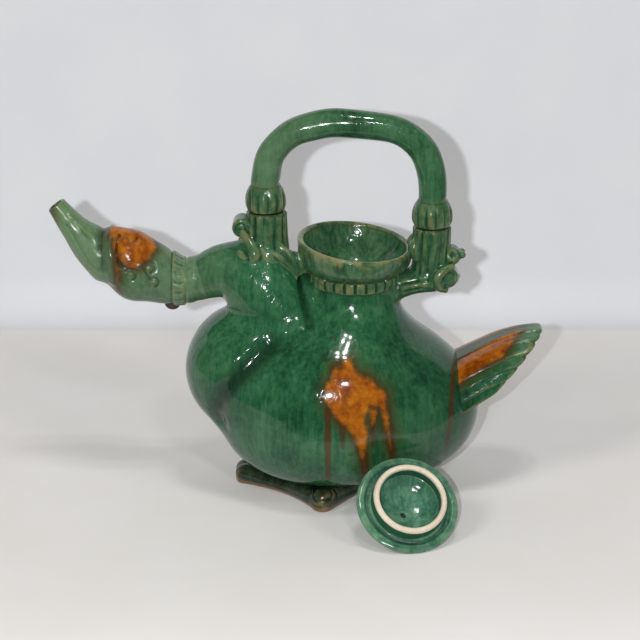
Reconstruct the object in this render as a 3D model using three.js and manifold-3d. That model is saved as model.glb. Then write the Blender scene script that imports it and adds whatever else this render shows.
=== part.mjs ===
// Duck teapot of press-moulded, lead-glazed pottery. Millimetres, +Z up.
// The duck looks to -X and its tail points to +X. The origin is on the floor, under the feet.
// The pieces are luted together with slip, so each one is cut to its neighbour with a seam between.
// The lid is off, and leans on its knob in front of the pot.
import * as THREE from "three";
import { mergeVertices } from "three/addons/utils/BufferGeometryUtils.js";
import Module from "manifold-3d";

const wasm = await Module();
wasm.setup();

// Clay
const wall = 4.5;
const seam = 0.3;

// Body: three lobes that melt together. The belly sinks a little into the slab of the feet.
const footHeight = 10;
const bellySink = 2;
const belly = { x: 2, long: 69, wide: 62, high: 52.5, squareness: 3 };
belly.z = footHeight - bellySink + belly.high;
const breast = { x: belly.x - 47.5, z: belly.z + 12, long: 39.5, wide: 43, high: 38.5 };
const rump = { x: belly.x + 48, z: belly.z - 10.5, long: 38, wide: 47, high: 36 };
const lobeBlend = 9;

// Throat that carries the mouth
const throatX = belly.x + 12.2;
const throatTop = belly.z + belly.high + 16;
const throatRadius = 24;
const throatBlend = 20;

// Mouth cup on the throat: its rim dips towards the tail. A band of beads hides the joint.
const bandHeight = 7.2;
const bandBase = 1.2;
const bandProud = 1.5;
const bandBars = 26;
const bandLow = throatTop - bandHeight / 2;
const bandHigh = throatTop + bandHeight / 2;
const cupFoot = bandHigh + 0.4;
const cupHeight = 17;
const rimRadius = 33.3;
const rimWall = 3.3;
const rimDip = THREE.MathUtils.degToRad(3.2);
const rimRound = 1.2;

// Duck's neck, from inside the body to its end: [x, z, half height, half width], from the belly
const neckStations = shifted(belly, [
  [-11, 23.5, 20, 27],
  [-21, 38.5, 23.5, 28],
  [-32, 51.5, 24, 26],
  [-43, 62.5, 22.5, 23],
  [-54, 67.6, 19.5, 19],
  [-64, 69.1, 15.4, 15.4],
  [-74.5, 67.3, 12.8, 13],
]);
const neckEnd = { x: neckStations.at(-1)[0], z: neckStations.at(-1)[1] };

// Head and beak, from the neck to the pouring hole, from the neck's end
const headStations = shifted(neckEnd, [
  [-seam, -0.05, neckStations.at(-1)[2], neckStations.at(-1)[3]],
  [-6.5, -1.2, 12.6, 12.8],
  [-13.5, -1.9, 13.4, 13.4],
  [-21.5, -0.4, 15.4, 14.2],
  [-32.5, 4.2, 17.8, 15.6],
  [-44.5, 9.2, 20, 16.2],
  [-55.5, 14.6, 17.6, 14.6],
  [-65, 20.4, 12.6, 11.6],
  [-74.5, 30.2, 8.2, 8.2],
  [-84.7, 44.2, 5.4, 5.8],
]);
const headWall = 3.2;
const beakWall = 1.7;
const faceLong = 54.5;
const faceRidgeX = neckEnd.x - faceLong;
const faceRidge = 1.3;
const cheekBosses = shifted(neckEnd, [
  [-30.4, 10.5],
  [-28.6, 1.4],
  [-39.9, 6.6],
]);
const bossRadius = 2.6;
const collarBeads = 16;
const collarFrom = neckEnd.x - 18.5;
const collarTo = neckEnd.x - 11;
const collarProud = 1.3;
const stubX = neckEnd.x - 19.2;
const stubRadius = 5;

// Handle: a round bar bent to an arch over the mouth, with a ribbed bulb at either end
const handleRadius = 8.4;
const handleRise = 41;
const handleSquareness = 2.7;
const bulbRadius = 11.6;
const bulbHeight = 15.1;
const ribs = 12;
const ribDepth = 1;
const frontBulb = { x: throatX - 51.2, low: throatTop + 39.8 };
const rearBulb = { x: throatX + 44.4, low: throatTop + 30.6 };

// Cuffs below the bulbs, and the shelf that carries the rear one
const frontCuff = { x: frontBulb.x + 0.5, low: throatTop - 9, topRadius: 11.2, footRadius: 17 };
const rearCuff = { x: rearBulb.x, low: throatTop - 1.6, topRadius: 10.7, footRadius: 11 };
frontCuff.high = frontBulb.low - seam;
rearCuff.high = rearBulb.low - seam;
const shelfStations = shifted({ x: throatX, z: throatTop }, [
  [15.8, -10, 8, 9],
  [25.8, -5.4, 8, 11],
  [35.8, -2.6, 7.4, 12.2],
  [45.8, -1.4, 7.6, 12.4],
  [54.3, 0.6, 7.2, 10],
  [58.3, 4, 4.6, 6],
]);

// Bows: rolled ribbon ends that lie across a cuff, with a strap down either side
const strapRadius = 2.8;
const frontRolls = [{ x: frontCuff.x - 14, z: frontCuff.high - 9, radius: 5.6, halfWidth: 8 }];
const frontStrap = [
  [0.5, -6, -3.5],
  [3.5, -11, -9.5],
  [7.5, -14.5, -16],
];
const rearRolls = [
  { x: rearCuff.x + 12.6, z: rearCuff.high - 17.3, radius: 5.6, halfWidth: 7 },
  { x: rearCuff.x + 9.4, z: rearCuff.high - 29, radius: 5, halfWidth: 9.5 },
];
const rearStrap = [
  [0, -5, -2],
  [-4.5, -10.5, -5.6],
  [-14, -13.4, -7.6],
];

// Sash: a ribbon that runs from the front cuff down the crease beside the throat
const sashRadius = 3.4;
const sashLine = [
  [11, -11.5, 17.5],
  [14, -15, 11],
  [18, -18, 4],
  [21.5, -22, -5],
].map(([x, y, z]) => [frontCuff.x + x, y, throatTop + z]);

// Tail: a cowl of feathers, highest on the middle line. It grows out of the rump.
const tailRoot = { ridge: [rump.x + 12, rump.z + 26], side: [rump.x + 10, rump.z - 4] };
const tailLong = 62.5;
const tailLift = 20;
const tailSideLong = 34;
const tailSideLift = 19;
const tailTip = {
  ridge: [tailRoot.ridge[0] + tailLong, tailRoot.ridge[1] + tailLift],
  side: [tailRoot.side[0] + tailSideLong, tailRoot.side[1] + tailSideLift],
};
const tailArch = 8;
const tailRootHalf = 37;
const tailTipHalf = 27;
const tailFeathers = 9;
const tailThickness = 6.5;
const featherDepth = 0.9;

// Feet: one slab with two webbed feet, from the belly
const toeReach = 52.5;
const heelReach = 30;
const frontToe = { x: belly.x - toeReach, y: 2.5 };
const sideToe = { x: belly.x - 6.4, y: 42.5 };
const heelX = belly.x + heelReach;
const webInset = 5;
const toeRadius = 5.5;
const footBevel = 2;

// Lid: rests in the mouth when the pot is shut
const lidClearance = 0.7;
const lidEdge = 3.4;
const lidWall = 4;
const flangeRadius = 21.5;
const flangeWidth = 4;
const flangeDepth = 8.5;
const domeRise = 10;
const knobRadius = 7.6;
const knobRise = 17.5;
const knobStem = 3.2;
const ventRadius = 1.5;
const ventTurn = THREE.MathUtils.degToRad(120);
const lidContact = { x: belly.x + 47, y: -belly.wide - 39.3 };
const lidTurn = THREE.MathUtils.degToRad(15.4);

// Plain helpers

function lerp(a, b, t) {
  return a + (b - a) * t;
}

// Stations given from an anchor, placed in the shared frame
function shifted(anchor, stations) {
  return stations.map(([x, z, ...sizes]) => [anchor.x + x, anchor.z + z, ...sizes]);
}

function point(x, y, z) {
  return new THREE.Vector3(x, y, z);
}

function smoothUnion(a, b, blend) {
  const near = Math.max(blend - Math.abs(a - b), 0) / blend;
  return Math.min(a, b) - (near * near * blend) / 4;
}

// Calls place(angle) at count even steps round a circle.
function around(count, place) {
  return Array.from({ length: count }, (_, i) => place((2 * Math.PI * i) / count));
}

// Turns a list of corners and faces into a solid, with its faces turned outwards.
function solidFrom(corners, faces) {
  let volume = 0;
  for (const [a, b, c] of faces) {
    volume += corners[a].dot(point(0, 0, 0).crossVectors(corners[b], corners[c]));
  }
  const outward = volume > 0 ? faces : faces.map(([a, b, c]) => [a, c, b]);
  const vertProperties = new Float32Array(corners.flatMap((corner) => corner.toArray()));
  const triVerts = new Uint32Array(outward.flat());
  return new wasm.Manifold(new wasm.Mesh({ numProp: 3, vertProperties, triVerts }));
}

function stripFaces(from, to, count) {
  const faces = [];
  for (let i = 0; i < count; i++) {
    const next = (i + 1) % count;
    faces.push([from + i, from + next, to + next], [from + i, to + next, to + i]);
  }
  return faces;
}

// The sides of a body through a row of rings
function sideFaces(rings) {
  const count = rings[0].length;
  return rings.slice(1).flatMap((_, i) => stripFaces(i * count, (i + 1) * count, count));
}

// A closed body through a row of rings, with a cap on each end.
function loft(rings) {
  const count = rings[0].length;
  const corners = rings.flat();
  const faces = sideFaces(rings);
  for (const start of [0, (rings.length - 1) * count]) {
    const middle = corners.length;
    const centre = point(0, 0, 0);
    corners.slice(start, start + count).forEach((corner) => centre.addScaledVector(corner, 1 / count));
    corners.push(centre);
    for (let i = 0; i < count; i++) {
      const next = (i + 1) % count;
      faces.push(start === 0 ? [middle, next, i] : [middle, start + i, start + next]);
    }
  }
  return solidFrom(corners, faces);
}

// A bent slab: each ring runs out along its back and returns along its underside.
// Its ends are bent too, so they are capped from back to underside.
function slabLoft(rings) {
  const count = rings[0].length;
  const faces = sideFaces(rings);
  for (let i = 0; i + 1 < count / 2; i++) {
    const start = [i + 1, i, count - 1 - i, count - 2 - i];
    const end = start.toReversed().map((corner) => corner + (rings.length - 1) * count);
    for (const [a, b, c, d] of [start, end]) faces.push([a, b, c], [a, c, d]);
  }
  return solidFrom(rings.flat(), faces);
}

// A closed wall: rings that run out along one face and come back along the other.
function loopLoft(rings) {
  const count = rings[0].length;
  const faces = [];
  for (let i = 0; i < rings.length; i++) {
    faces.push(...stripFaces(i * count, ((i + 1) % rings.length) * count, count));
  }
  return solidFrom(rings.flat(), faces);
}

// Even steps along a smooth line through stations of [x, z, half height, half width].
function smoothStations(stations, steps) {
  const places = new THREE.CatmullRomCurve3(stations.map(([x, z]) => point(x, 0, z)));
  const sizes = new THREE.CatmullRomCurve3(stations.map(([, , high, wide]) => point(high, wide, 0)));
  return Array.from({ length: steps + 1 }, (_, i) => {
    const size = sizes.getPoint(i / steps);
    return {
      place: places.getPoint(i / steps),
      along: places.getTangent(i / steps),
      high: size.x,
      wide: size.y,
    };
  });
}

// A ring across a station. grow widens it, and relief(angle) adds to it.
function stationRing(station, count, grow = 0, relief = () => 0) {
  const up = point(station.along.z, 0, -station.along.x);
  if (up.z < 0) up.negate();
  return around(count, (angle) => {
    const more = grow + relief(angle);
    const rise = (station.high + more) * Math.cos(angle);
    const out = (station.wide + more) * Math.sin(angle);
    return station.place.clone().addScaledVector(up, rise).add(point(0, out, 0));
  });
}

// A bore's last ring, moved on past the end that it opens
function openEnd(ring, by) {
  return ring.map((corner) => corner.clone().add(by));
}

function sweep(stations, steps, count, grow = 0) {
  return loft(smoothStations(stations, steps).map((station) => stationRing(station, count, grow)));
}

// A round rope of clay through the given points. taper is its end's share of the radius.
function rope(points, radius, steps, count, taper = 1) {
  const curve = new THREE.CatmullRomCurve3(points.map(([x, y, z]) => point(x, y, z)));
  const frames = curve.computeFrenetFrames(steps, false);
  const rings = frames.tangents.map((_, i) => {
    const centre = curve.getPointAt(i / steps);
    const r = radius * lerp(1, taper, i / steps);
    return around(count, (angle) =>
      centre
        .clone()
        .addScaledVector(frames.normals[i], r * Math.cos(angle))
        .addScaledVector(frames.binormals[i], r * Math.sin(angle)),
    );
  });
  return loft(rings);
}

// A level ring about an upright line, dipped about Y. The radius may change with the angle.
function levelRing(x, z, radius, count, dip = 0) {
  return around(count, (angle) => {
    const r = typeof radius === "function" ? radius(angle) : radius;
    const out = r * Math.cos(angle);
    return point(x + out * Math.cos(dip), r * Math.sin(angle), z - out * Math.sin(dip));
  });
}

function fromGeometry(source) {
  const geometry = source.clone();
  geometry.deleteAttribute("normal");
  geometry.deleteAttribute("uv");
  const merged = mergeVertices(geometry, 1e-4);
  const vertProperties = merged.attributes.position.array;
  const triVerts = new Uint32Array(merged.index.array);
  return new wasm.Manifold(new wasm.Mesh({ numProp: 3, vertProperties, triVerts }));
}

function box(x0, x1, y0, y1, z0, z1) {
  const geometry = new THREE.BoxGeometry(x1 - x0, y1 - y0, z1 - z0);
  geometry.translate((x0 + x1) / 2, (y0 + y1) / 2, (z0 + z1) / 2);
  return fromGeometry(geometry);
}

// A turned solid about Z from a profile of [radius, z] that closes on itself or on the axis.
function turned(profile, segments) {
  const outline = profile.map(([r, z]) => new THREE.Vector2(r, z));
  return fromGeometry(new THREE.LatheGeometry(outline, segments).rotateX(Math.PI / 2));
}

function toGeometry(solid) {
  const mesh = solid.getMesh();
  const geometry = new THREE.BufferGeometry();
  geometry.setAttribute("position", new THREE.BufferAttribute(mesh.vertProperties, 3));
  geometry.setIndex(new THREE.BufferAttribute(mesh.triVerts, 1));
  geometry.computeVertexNormals();
  return geometry;
}

const mirrorY = ([x, y, z]) => [x, -y, z];
const far = 10 * belly.long;

// Body

// About how far a point lies outside an egg-shaped lobe. Its lower half may be squarer.
function lobeDistance(lobe, p) {
  const q = point((p.x - lobe.x) / lobe.long, p.y / lobe.wide, (p.z - lobe.z) / lobe.high);
  const slope = point(q.x / lobe.long, q.y / lobe.wide, q.z / lobe.high);
  const power = q.z < 0 ? (lobe.squareness ?? 2) : 2;
  const size = (Math.hypot(q.x, q.y) ** power + Math.abs(q.z) ** power) ** (1 / power);
  return (q.length() * (size - 1)) / Math.max(slope.length(), 1e-6);
}

function bodyDistance(p) {
  const throat = Math.hypot(p.x - throatX, p.y) - throatRadius;
  const front = smoothUnion(lobeDistance(belly, p), lobeDistance(breast, p), lobeBlend);
  const lobes = smoothUnion(front, lobeDistance(rump, p), 2 * lobeBlend);
  return p.z > belly.z ? smoothUnion(lobes, throat, throatBlend) : lobes;
}

// The body's skin, found along rays from the middle of the belly. depth sets it in from the glaze.
// Rows crowd towards the throat, where the shoulder turns up.
const throatRows = 1.6;

function bodySolid(depth, rows, columns) {
  const middle = point(belly.x, 0, belly.z);
  const skin = (direction) => {
    let inside = 0;
    let outside = far / 2;
    while (outside - inside > 1e-3) {
      const reach = (inside + outside) / 2;
      const p = middle.clone().addScaledVector(direction, reach);
      if (bodyDistance(p) < -depth) inside = reach;
      else outside = reach;
    }
    return middle.clone().addScaledVector(direction, inside);
  };
  const rings = [];
  for (let row = 1; row < rows; row++) {
    const rise = Math.PI / 2 - Math.PI * (1 - row / rows) ** throatRows;
    const flat = Math.cos(rise);
    rings.push(
      around(columns, (turn) => skin(point(flat * Math.cos(turn), flat * Math.sin(turn), Math.sin(rise)))),
    );
  }
  return loft(rings);
}

const bodyOuter = bodySolid(0, 28, 36).subtract(box(-far, far, -far, far, throatTop, far));
const bodySeat = bodySolid(-seam, 28, 36);
const bodyVoid = bodySolid(wall, 18, 24);

// Duck's neck

const neckOuter = sweep(neckStations, 9, 22);
const neckSeat = sweep(neckStations, 9, 22, seam);
const neckHole = smoothStations(neckStations, 8).map((row) => stationRing(row, 16, -wall));
const neckBore = loft([...neckHole, openEnd(neckHole.at(-1), point(-wall, 0, 0))]);

// Mouth: a bowl-shaped cup whose wall leans out and turns upright at the rim

const cupProfile = [
  [0, 0.02],
  [0.05, 0.22],
  [0.17, 0.52],
  [0.34, 0.78],
  [0.62, 0.95],
  [0.92, 1],
];

function cupRing(share, radius, count) {
  return levelRing(throatX, cupFoot + cupHeight * share, radius, count, rimDip * share);
}

// grow(share) is added to the radius at each height.
function cupRings(grow, count) {
  return cupProfile.map(([share, wide]) =>
    cupRing(share, lerp(throatRadius, rimRadius, wide) + grow(share), count),
  );
}

const cupRound = 32;
const cupStart = (grow) => levelRing(throatX, throatTop + seam, throatRadius + grow, cupRound);
const mouthCup = loopLoft([
  cupStart(0),
  ...cupRings(() => 0, cupRound),
  cupRing(1, rimRadius - rimRound, cupRound),
  cupRing(1, rimRadius - rimWall + rimRound, cupRound),
  ...cupRings((share) => -lerp(wall, rimWall, share), cupRound).reverse(),
  cupStart(-wall),
]);
const mouthSeat = loft([
  levelRing(throatX, belly.z, throatRadius + seam, cupRound),
  ...cupRings(() => seam, cupRound),
  cupRing(1 + seam / cupHeight, rimRadius, cupRound),
]);

// A flat-topped bead for each step round, with a groove between beads
function beads(count, height) {
  return (angle) => height * (Math.cos(count * angle) > -0.4 ? 1 : 0.3);
}

const bandRound = bandBars * 3;
const bandRing = (z, radius) => levelRing(throatX, z, radius, bandRound);
const bandSeat = loft(
  [bandLow - seam, bandHigh + seam].map((z) =>
    levelRing(throatX, z, throatRadius + bandBase + bandProud + 2 * seam, cupRound),
  ),
);
const bandFoot = throatRadius + seam;
const bandFace = (angle) => bandFoot + bandBase + beads(bandBars, bandProud)(angle);
const beadBand = loopLoft([
  bandRing(bandLow, bandFace),
  bandRing(bandHigh, bandFace),
  bandRing(bandHigh, bandFoot),
  bandRing(bandLow, bandFoot),
]);

// Head and beak

const headRows = smoothStations(headStations, 17);
const headRound = 20;
const ridgeAt = (row) => faceRidge * Math.exp(-(((row.place.x - faceRidgeX) / 2.6) ** 2));
const headOuter = loft(headRows.map((row) => stationRing(row, headRound, ridgeAt(row))));
const headSeat = loft(headRows.map((row) => stationRing(row, headRound, seam)));
const boreSteps = 12;
const beakHole = smoothStations(headStations, boreSteps).map((row, i) =>
  stationRing(row, 14, -lerp(headWall, beakWall, i / boreSteps)),
);
const headBore = loft([
  openEnd(beakHole[0], point(wall, 0, 0)),
  ...beakHole,
  openEnd(beakHole.at(-1), headRows.at(-1).along.clone().multiplyScalar(wall)),
]);

// The station of a swept piece at a given x, between its two nearest rows
function rowAt(rows, x) {
  const i = Math.max(rows.findIndex((row) => row.place.x <= x), 1);
  const [a, b] = [rows[i - 1], rows[i]];
  const share = (a.place.x - x) / (a.place.x - b.place.x);
  return {
    place: a.place.clone().lerp(b.place, share),
    along: a.along.clone().lerp(b.along, share),
    high: lerp(a.high, b.high, share),
    wide: lerp(a.wide, b.wide, share),
  };
}

function cheekBoss([x, z], side) {
  const row = rowAt(headRows, x);
  const lift = (z - row.place.z) / row.high;
  const out = row.wide * Math.sqrt(Math.max(1 - lift * lift, 0));
  return fromGeometry(new THREE.SphereGeometry(bossRadius, 8, 5).translate(x, side * out, z));
}

let duckHead = headOuter;
for (const boss of cheekBosses) {
  for (const side of [-1, 1]) duckHead = duckHead.add(cheekBoss(boss, side));
}
duckHead = duckHead.subtract(headBore);

const collarRound = collarBeads * 3;
const collarRows = [collarTo, (collarFrom + collarTo) / 2, collarFrom].map((x) => rowAt(headRows, x));
const neckCollar = loopLoft([
  ...collarRows.map((row) => stationRing(row, collarRound, seam, beads(collarBeads, collarProud))),
  ...collarRows.toReversed().map((row) => stationRing(row, collarRound, seam)),
]);
const collarSeat = loft(collarRows.map((row) => stationRing(row, headRound, collarProud + 2 * seam)));

const stubRow = rowAt(headRows, stubX);
const throatStub = fromGeometry(
  new THREE.SphereGeometry(stubRadius, 14, 8).translate(stubX, 0, stubRow.place.z - stubRow.high - seam),
)
  .subtract(headSeat)
  .subtract(collarSeat);

// Handle: a squared arch from one bulb to the other, upright where it meets them

const handleSpan = rearBulb.x - frontBulb.x;
const archSteps = 16;
const handleLead = 3;
const archPoint = (step) => {
  const turn = Math.PI * (1 - step / archSteps);
  const side = Math.sign(Math.cos(turn)) * Math.abs(Math.cos(turn)) ** (2 / handleSquareness);
  const share = (1 + side) / 2;
  const rise = handleRise * Math.sin(turn) ** (2 / handleSquareness);
  return [frontBulb.x + handleSpan * share, 0, lerp(frontBulb.low, rearBulb.low, share) + bulbHeight + rise];
};
const handleEnd = ({ x, low }, lift) => [x, 0, low + bulbHeight + seam + lift];
const handleArch = rope(
  [
    handleEnd(frontBulb, 0),
    handleEnd(frontBulb, handleLead),
    ...Array.from({ length: archSteps - 1 }, (_, i) => archPoint(i + 1)),
    handleEnd(rearBulb, handleLead),
    handleEnd(rearBulb, 0),
  ],
  handleRadius,
  26,
  14,
);

function ribbed(radius, depth) {
  return (angle) => radius - depth * (1 - Math.abs(Math.cos((ribs * angle) / 2)));
}

// A ribbed piece about an upright line, through [height share, radius, rib depth].
function ribbedColumn(x, low, high, profile) {
  return loft(
    profile.map(([share, radius, depth]) =>
      levelRing(x, lerp(low, high, share), ribbed(radius, depth), ribs * 4),
    ),
  );
}

function bulb({ x, low }) {
  return ribbedColumn(x, low, low + bulbHeight, [
    [0, bulbRadius * 0.88, 0.5 * ribDepth],
    [0.3, bulbRadius, 2 * ribDepth],
    [0.6, bulbRadius * 0.97, 2 * ribDepth],
    [0.88, handleRadius * 1.14, ribDepth],
    [1, handleRadius, 0],
  ]);
}

function cuff({ x, low, high, topRadius, footRadius }) {
  return ribbedColumn(x, low, high, [
    [0, footRadius, ribDepth],
    [0.5, lerp(topRadius, footRadius, 0.3), ribDepth],
    [1, topRadius, 0.5 * ribDepth],
  ]);
}

const cuffSeat = (post) =>
  cuff({ ...post, topRadius: post.topRadius + seam, footRadius: post.footRadius + seam });
const shelf = sweep(shelfStations, 10, 20);
const shelfSeat = sweep(shelfStations, 10, 20, seam);
const frontCuffSolid = cuff(frontCuff).subtract(neckSeat).subtract(bodySeat).subtract(mouthSeat);
const rearCuffSolid = cuff(rearCuff).subtract(shelfSeat).subtract(mouthSeat);

// Rolled ribbon ends that lie across a post, with a strap down either side from the first one
function bow(rolls, strap, post, base) {
  const drums = rolls.map(({ x, z, radius, halfWidth }) => {
    const outline = [
      [0, -halfWidth],
      [radius * 0.8, -halfWidth],
      [radius, -halfWidth * 0.8],
      [radius, halfWidth * 0.8],
      [radius * 0.8, halfWidth],
      [0, halfWidth],
    ].map(([r, y]) => new THREE.Vector2(r, y));
    return fromGeometry(new THREE.LatheGeometry(outline, 14).translate(x, 0, z));
  });
  const line = strap.map(([x, y, z]) => [rolls[0].x + x, y, rolls[0].z + z]);
  return [...drums, rope(line, strapRadius, 6, 8, 0.8), rope(line.map(mirrorY), strapRadius, 6, 8, 0.8)]
    .reduce((all, piece) => all.add(piece))
    .subtract(cuffSeat(post))
    .subtract(base);
}

const frontBow = bow(frontRolls, frontStrap, frontCuff, neckSeat);
const rearBow = bow(rearRolls, rearStrap, rearCuff, shelfSeat);

// side is 1 on the duck's left, which is towards -Y, and -1 on its right.
const sash = (side) =>
  rope(sashLine.map(([x, y, z]) => [x, side * y, z]), sashRadius, 8, 10, 0.6)
    .subtract(neckSeat)
    .subtract(bodySeat)
    .subtract(mouthSeat)
    .subtract(cuffSeat(frontCuff));

// Tail: rings that slant from the ridge to the lower edge, each one an arch with a hollow below

function tailPoint(along, across, depth) {
  const ridge = point(
    lerp(tailRoot.ridge[0], tailTip.ridge[0], along),
    0,
    lerp(tailRoot.ridge[1], tailTip.ridge[1], along) + tailArch * Math.sin(Math.PI * along),
  );
  const edge = point(
    lerp(tailRoot.side[0], tailTip.side[0], along),
    0,
    lerp(tailRoot.side[1], tailTip.side[1], along),
  );
  const turn = (Math.abs(across) * Math.PI) / 2;
  const groove = featherDepth * (1 - Math.abs(Math.sin((tailFeathers * Math.PI * (across + 1)) / 2)));
  const inset = depth > 0 ? depth : groove;
  const drop = edge.clone().sub(ridge).normalize();
  const corner = ridge.lerp(edge, 1 - Math.cos(turn)).addScaledVector(drop, inset * Math.cos(turn));
  const half = lerp(tailRootHalf, tailTipHalf, along);
  corner.y = Math.sign(across) * (half - inset) * Math.sin(turn);
  return corner;
}

const tailAcross = tailFeathers * 3;
const tailAlong = 7;
const tailRings = Array.from({ length: tailAlong + 1 }, (_, i) => {
  const t = i / tailAlong;
  const thickness = tailThickness * lerp(1.4, 0.7, t);
  const row = (depth) =>
    Array.from({ length: tailAcross + 1 }, (_, j) => tailPoint(t, (2 * j) / tailAcross - 1, depth));
  return [...row(0), ...row(thickness).reverse()];
});
const tailFan = slabLoft(tailRings).subtract(bodySeat);

// Feet: the webs run in from toe to toe, and the slab's edge is rounded

function feetOutline() {
  const outline = new THREE.Shape();
  const front = frontToe.x;
  const side = sideToe.y;
  outline.moveTo(heelX, 0);
  outline.lineTo(sideToe.x + toeRadius * 0.8, -side - toeRadius * 0.6);
  outline.absarc(sideToe.x, -side, toeRadius, -0.6, -Math.PI + 0.6, true);
  const web = [(sideToe.x + front) / 2 + webInset, (-side - frontToe.y) / 2 + webInset];
  outline.quadraticCurveTo(web[0], web[1], front, -frontToe.y - toeRadius);
  outline.absarc(front, -frontToe.y, toeRadius, -Math.PI / 2, -1.2 * Math.PI, true);
  outline.absarc(front, frontToe.y, toeRadius, 1.2 * Math.PI, Math.PI / 2, true);
  outline.quadraticCurveTo(web[0], -web[1], sideToe.x - toeRadius * 0.8, side + toeRadius * 0.6);
  outline.absarc(sideToe.x, side, toeRadius, Math.PI - 0.6, 0.6, true);
  return outline;
}

// The outline at a height, drawn in by inset along its own normals
function feetRing(corners, height, inset) {
  return corners.map((corner, i) => {
    const before = corners.at(i - 1);
    const after = corners[(i + 1) % corners.length];
    const along = after.clone().sub(before).normalize();
    return point(corner.x - along.y * inset, corner.y + along.x * inset, height);
  });
}

const feetCorners = feetOutline()
  .getPoints(5)
  .filter((corner, i, all) => corner.distanceTo(all.at(i - 1)) > 0.05);
const feet = loft(
  [
    [0, 0.6],
    [0.12, 0],
    [0.7, 0],
    [0.93, 0.5],
    [1, 1.2],
  ].map(([share, inset]) => feetRing(feetCorners, share * footHeight, inset * footBevel)),
).subtract(bodySeat);

// Lid, drawn upright with the underside of its rim at z = 0

const lidRadius = rimRadius - rimWall - lidClearance;
const flangeBore = flangeRadius - flangeWidth;
const lidRound = 32;
const ventOffset = knobStem + ventRadius + seam;
const ventTool = fromGeometry(
  new THREE.CylinderGeometry(ventRadius, ventRadius, 6 * domeRise, 10)
    .rotateX(Math.PI / 2)
    .translate(ventOffset * Math.cos(ventTurn), ventOffset * Math.sin(ventTurn), 0),
);
const lidPlate = turned(
  [
    [0, domeRise - lidWall],
    [flangeBore * 0.55, domeRise * 0.84 - lidWall],
    [flangeBore * 0.9, domeRise * 0.3 - lidWall * 0.2],
    [flangeBore, 0],
    [lidRadius - lidEdge / 2, 0],
    [lidRadius, lidEdge / 2],
    [lidRadius - lidEdge / 2, lidEdge],
    [flangeRadius, lidEdge * 1.35],
    [flangeRadius * 0.72, domeRise * 0.8],
    [flangeRadius * 0.4, domeRise * 0.96],
    [0, domeRise],
  ],
  lidRound,
).subtract(ventTool);
const lidFlange = turned(
  [
    [flangeBore, -seam],
    [flangeBore, -flangeDepth],
    [flangeRadius - 1, -flangeDepth],
    [flangeRadius, -flangeDepth + 1.5],
    [flangeRadius + 0.6, -seam],
    [flangeBore, -seam],
  ],
  lidRound,
);
const knobSteps = 7;
const lidKnob = turned(
  [
    [0, domeRise + seam],
    [knobStem, domeRise + seam],
    ...Array.from({ length: knobSteps }, (_, i) => {
      const turn = lerp(-Math.acos(knobStem / knobRadius), Math.PI / 2, i / knobSteps);
      return [knobRadius * Math.cos(turn), knobRise + knobRadius * Math.sin(turn)];
    }),
    [0, knobRise + knobRadius],
  ],
  18,
);

// The lid leans on its rim and its knob: the floor touches both.
const rimEdge = point(0, lidRadius, lidEdge / 2);
const lidReach = Math.hypot(lidRadius, knobRise - rimEdge.z);
const lidTilt = Math.atan2(knobRise - rimEdge.z, lidRadius) + Math.asin(knobRadius / lidReach);

const group = new THREE.Group();
const lid = new THREE.Group();
lid.rotation.set(lidTilt - Math.PI, 0, lidTurn, "ZXY");
const rimTouch = rimEdge.clone().applyEuler(lid.rotation);
const lowest = (solid) => {
  const { vertProperties } = solid.getMesh();
  let low = Infinity;
  for (let i = 0; i < vertProperties.length; i += 3) {
    low = Math.min(low, point(...vertProperties.slice(i, i + 3)).applyEuler(lid.rotation).z);
  }
  return low;
};
const lidLow = Math.min(lowest(lidPlate), lowest(lidKnob));
lid.position.set(lidContact.x - rimTouch.x, lidContact.y - rimTouch.y, -lidLow);
group.add(lid);

const glaze = { green: 0x1f5a3c, pale: 0x4f8f68, bare: 0xd8cbb4, stub: 0x3a2a20 };

function addPiece(name, solid, colour, parent = group) {
  const material = new THREE.MeshStandardMaterial({ color: colour, roughness: 0.15, metalness: 0 });
  const mesh = new THREE.Mesh(toGeometry(solid), material);
  mesh.name = name;
  parent.add(mesh);
  return mesh;
}

const bodyShell = bodyOuter.subtract(bodyVoid).subtract(neckBore);
addPiece("body_left", bodyShell.subtract(box(-far, far, 0, far, -far, far)), glaze.green);
addPiece("body_right", bodyShell.subtract(box(-far, far, -far, 0, -far, far)), glaze.green);
addPiece("duck_neck", neckOuter.subtract(neckBore).subtract(bodySeat).subtract(bandSeat), glaze.green);
addPiece("duck_head", duckHead, glaze.green);
addPiece("neck_collar", neckCollar, glaze.green);
addPiece("throat_stub", throatStub, glaze.stub);
addPiece("mouth_cup", mouthCup, glaze.green);
addPiece("bead_band", beadBand.subtract(bodySeat).subtract(shelfSeat), glaze.green);
addPiece("handle_arch", handleArch, glaze.green);
addPiece("front_bulb", bulb(frontBulb), glaze.green);
addPiece("rear_bulb", bulb(rearBulb), glaze.green);
addPiece("front_cuff", frontCuffSolid, glaze.green);
addPiece("rear_cuff", rearCuffSolid, glaze.green);
addPiece("front_bow", frontBow, glaze.green);
addPiece("rear_bow", rearBow, glaze.green);
addPiece("sash_left", sash(1), glaze.green);
addPiece("sash_right", sash(-1), glaze.green);
addPiece("handle_shelf", shelf.subtract(bodySeat).subtract(mouthSeat), glaze.green);
addPiece("tail_fan", tailFan, glaze.green);
addPiece("webbed_feet", feet, glaze.green);
addPiece("lid_plate", lidPlate, glaze.pale, lid);
addPiece("lid_flange", lidFlange, glaze.bare, lid);
addPiece("lid_knob", lidKnob, glaze.pale, lid);

export default group;
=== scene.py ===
# %% [markdown]
# A duck teapot of press-moulded pottery under a green lead glaze with amber splashes.
# The imported model gives the frame: every piece below is made in metres at the place that it has there.

import math
from functools import reduce

import bpy
import numpy as np
import openvdb
from mathutils import Matrix, Vector


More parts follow.
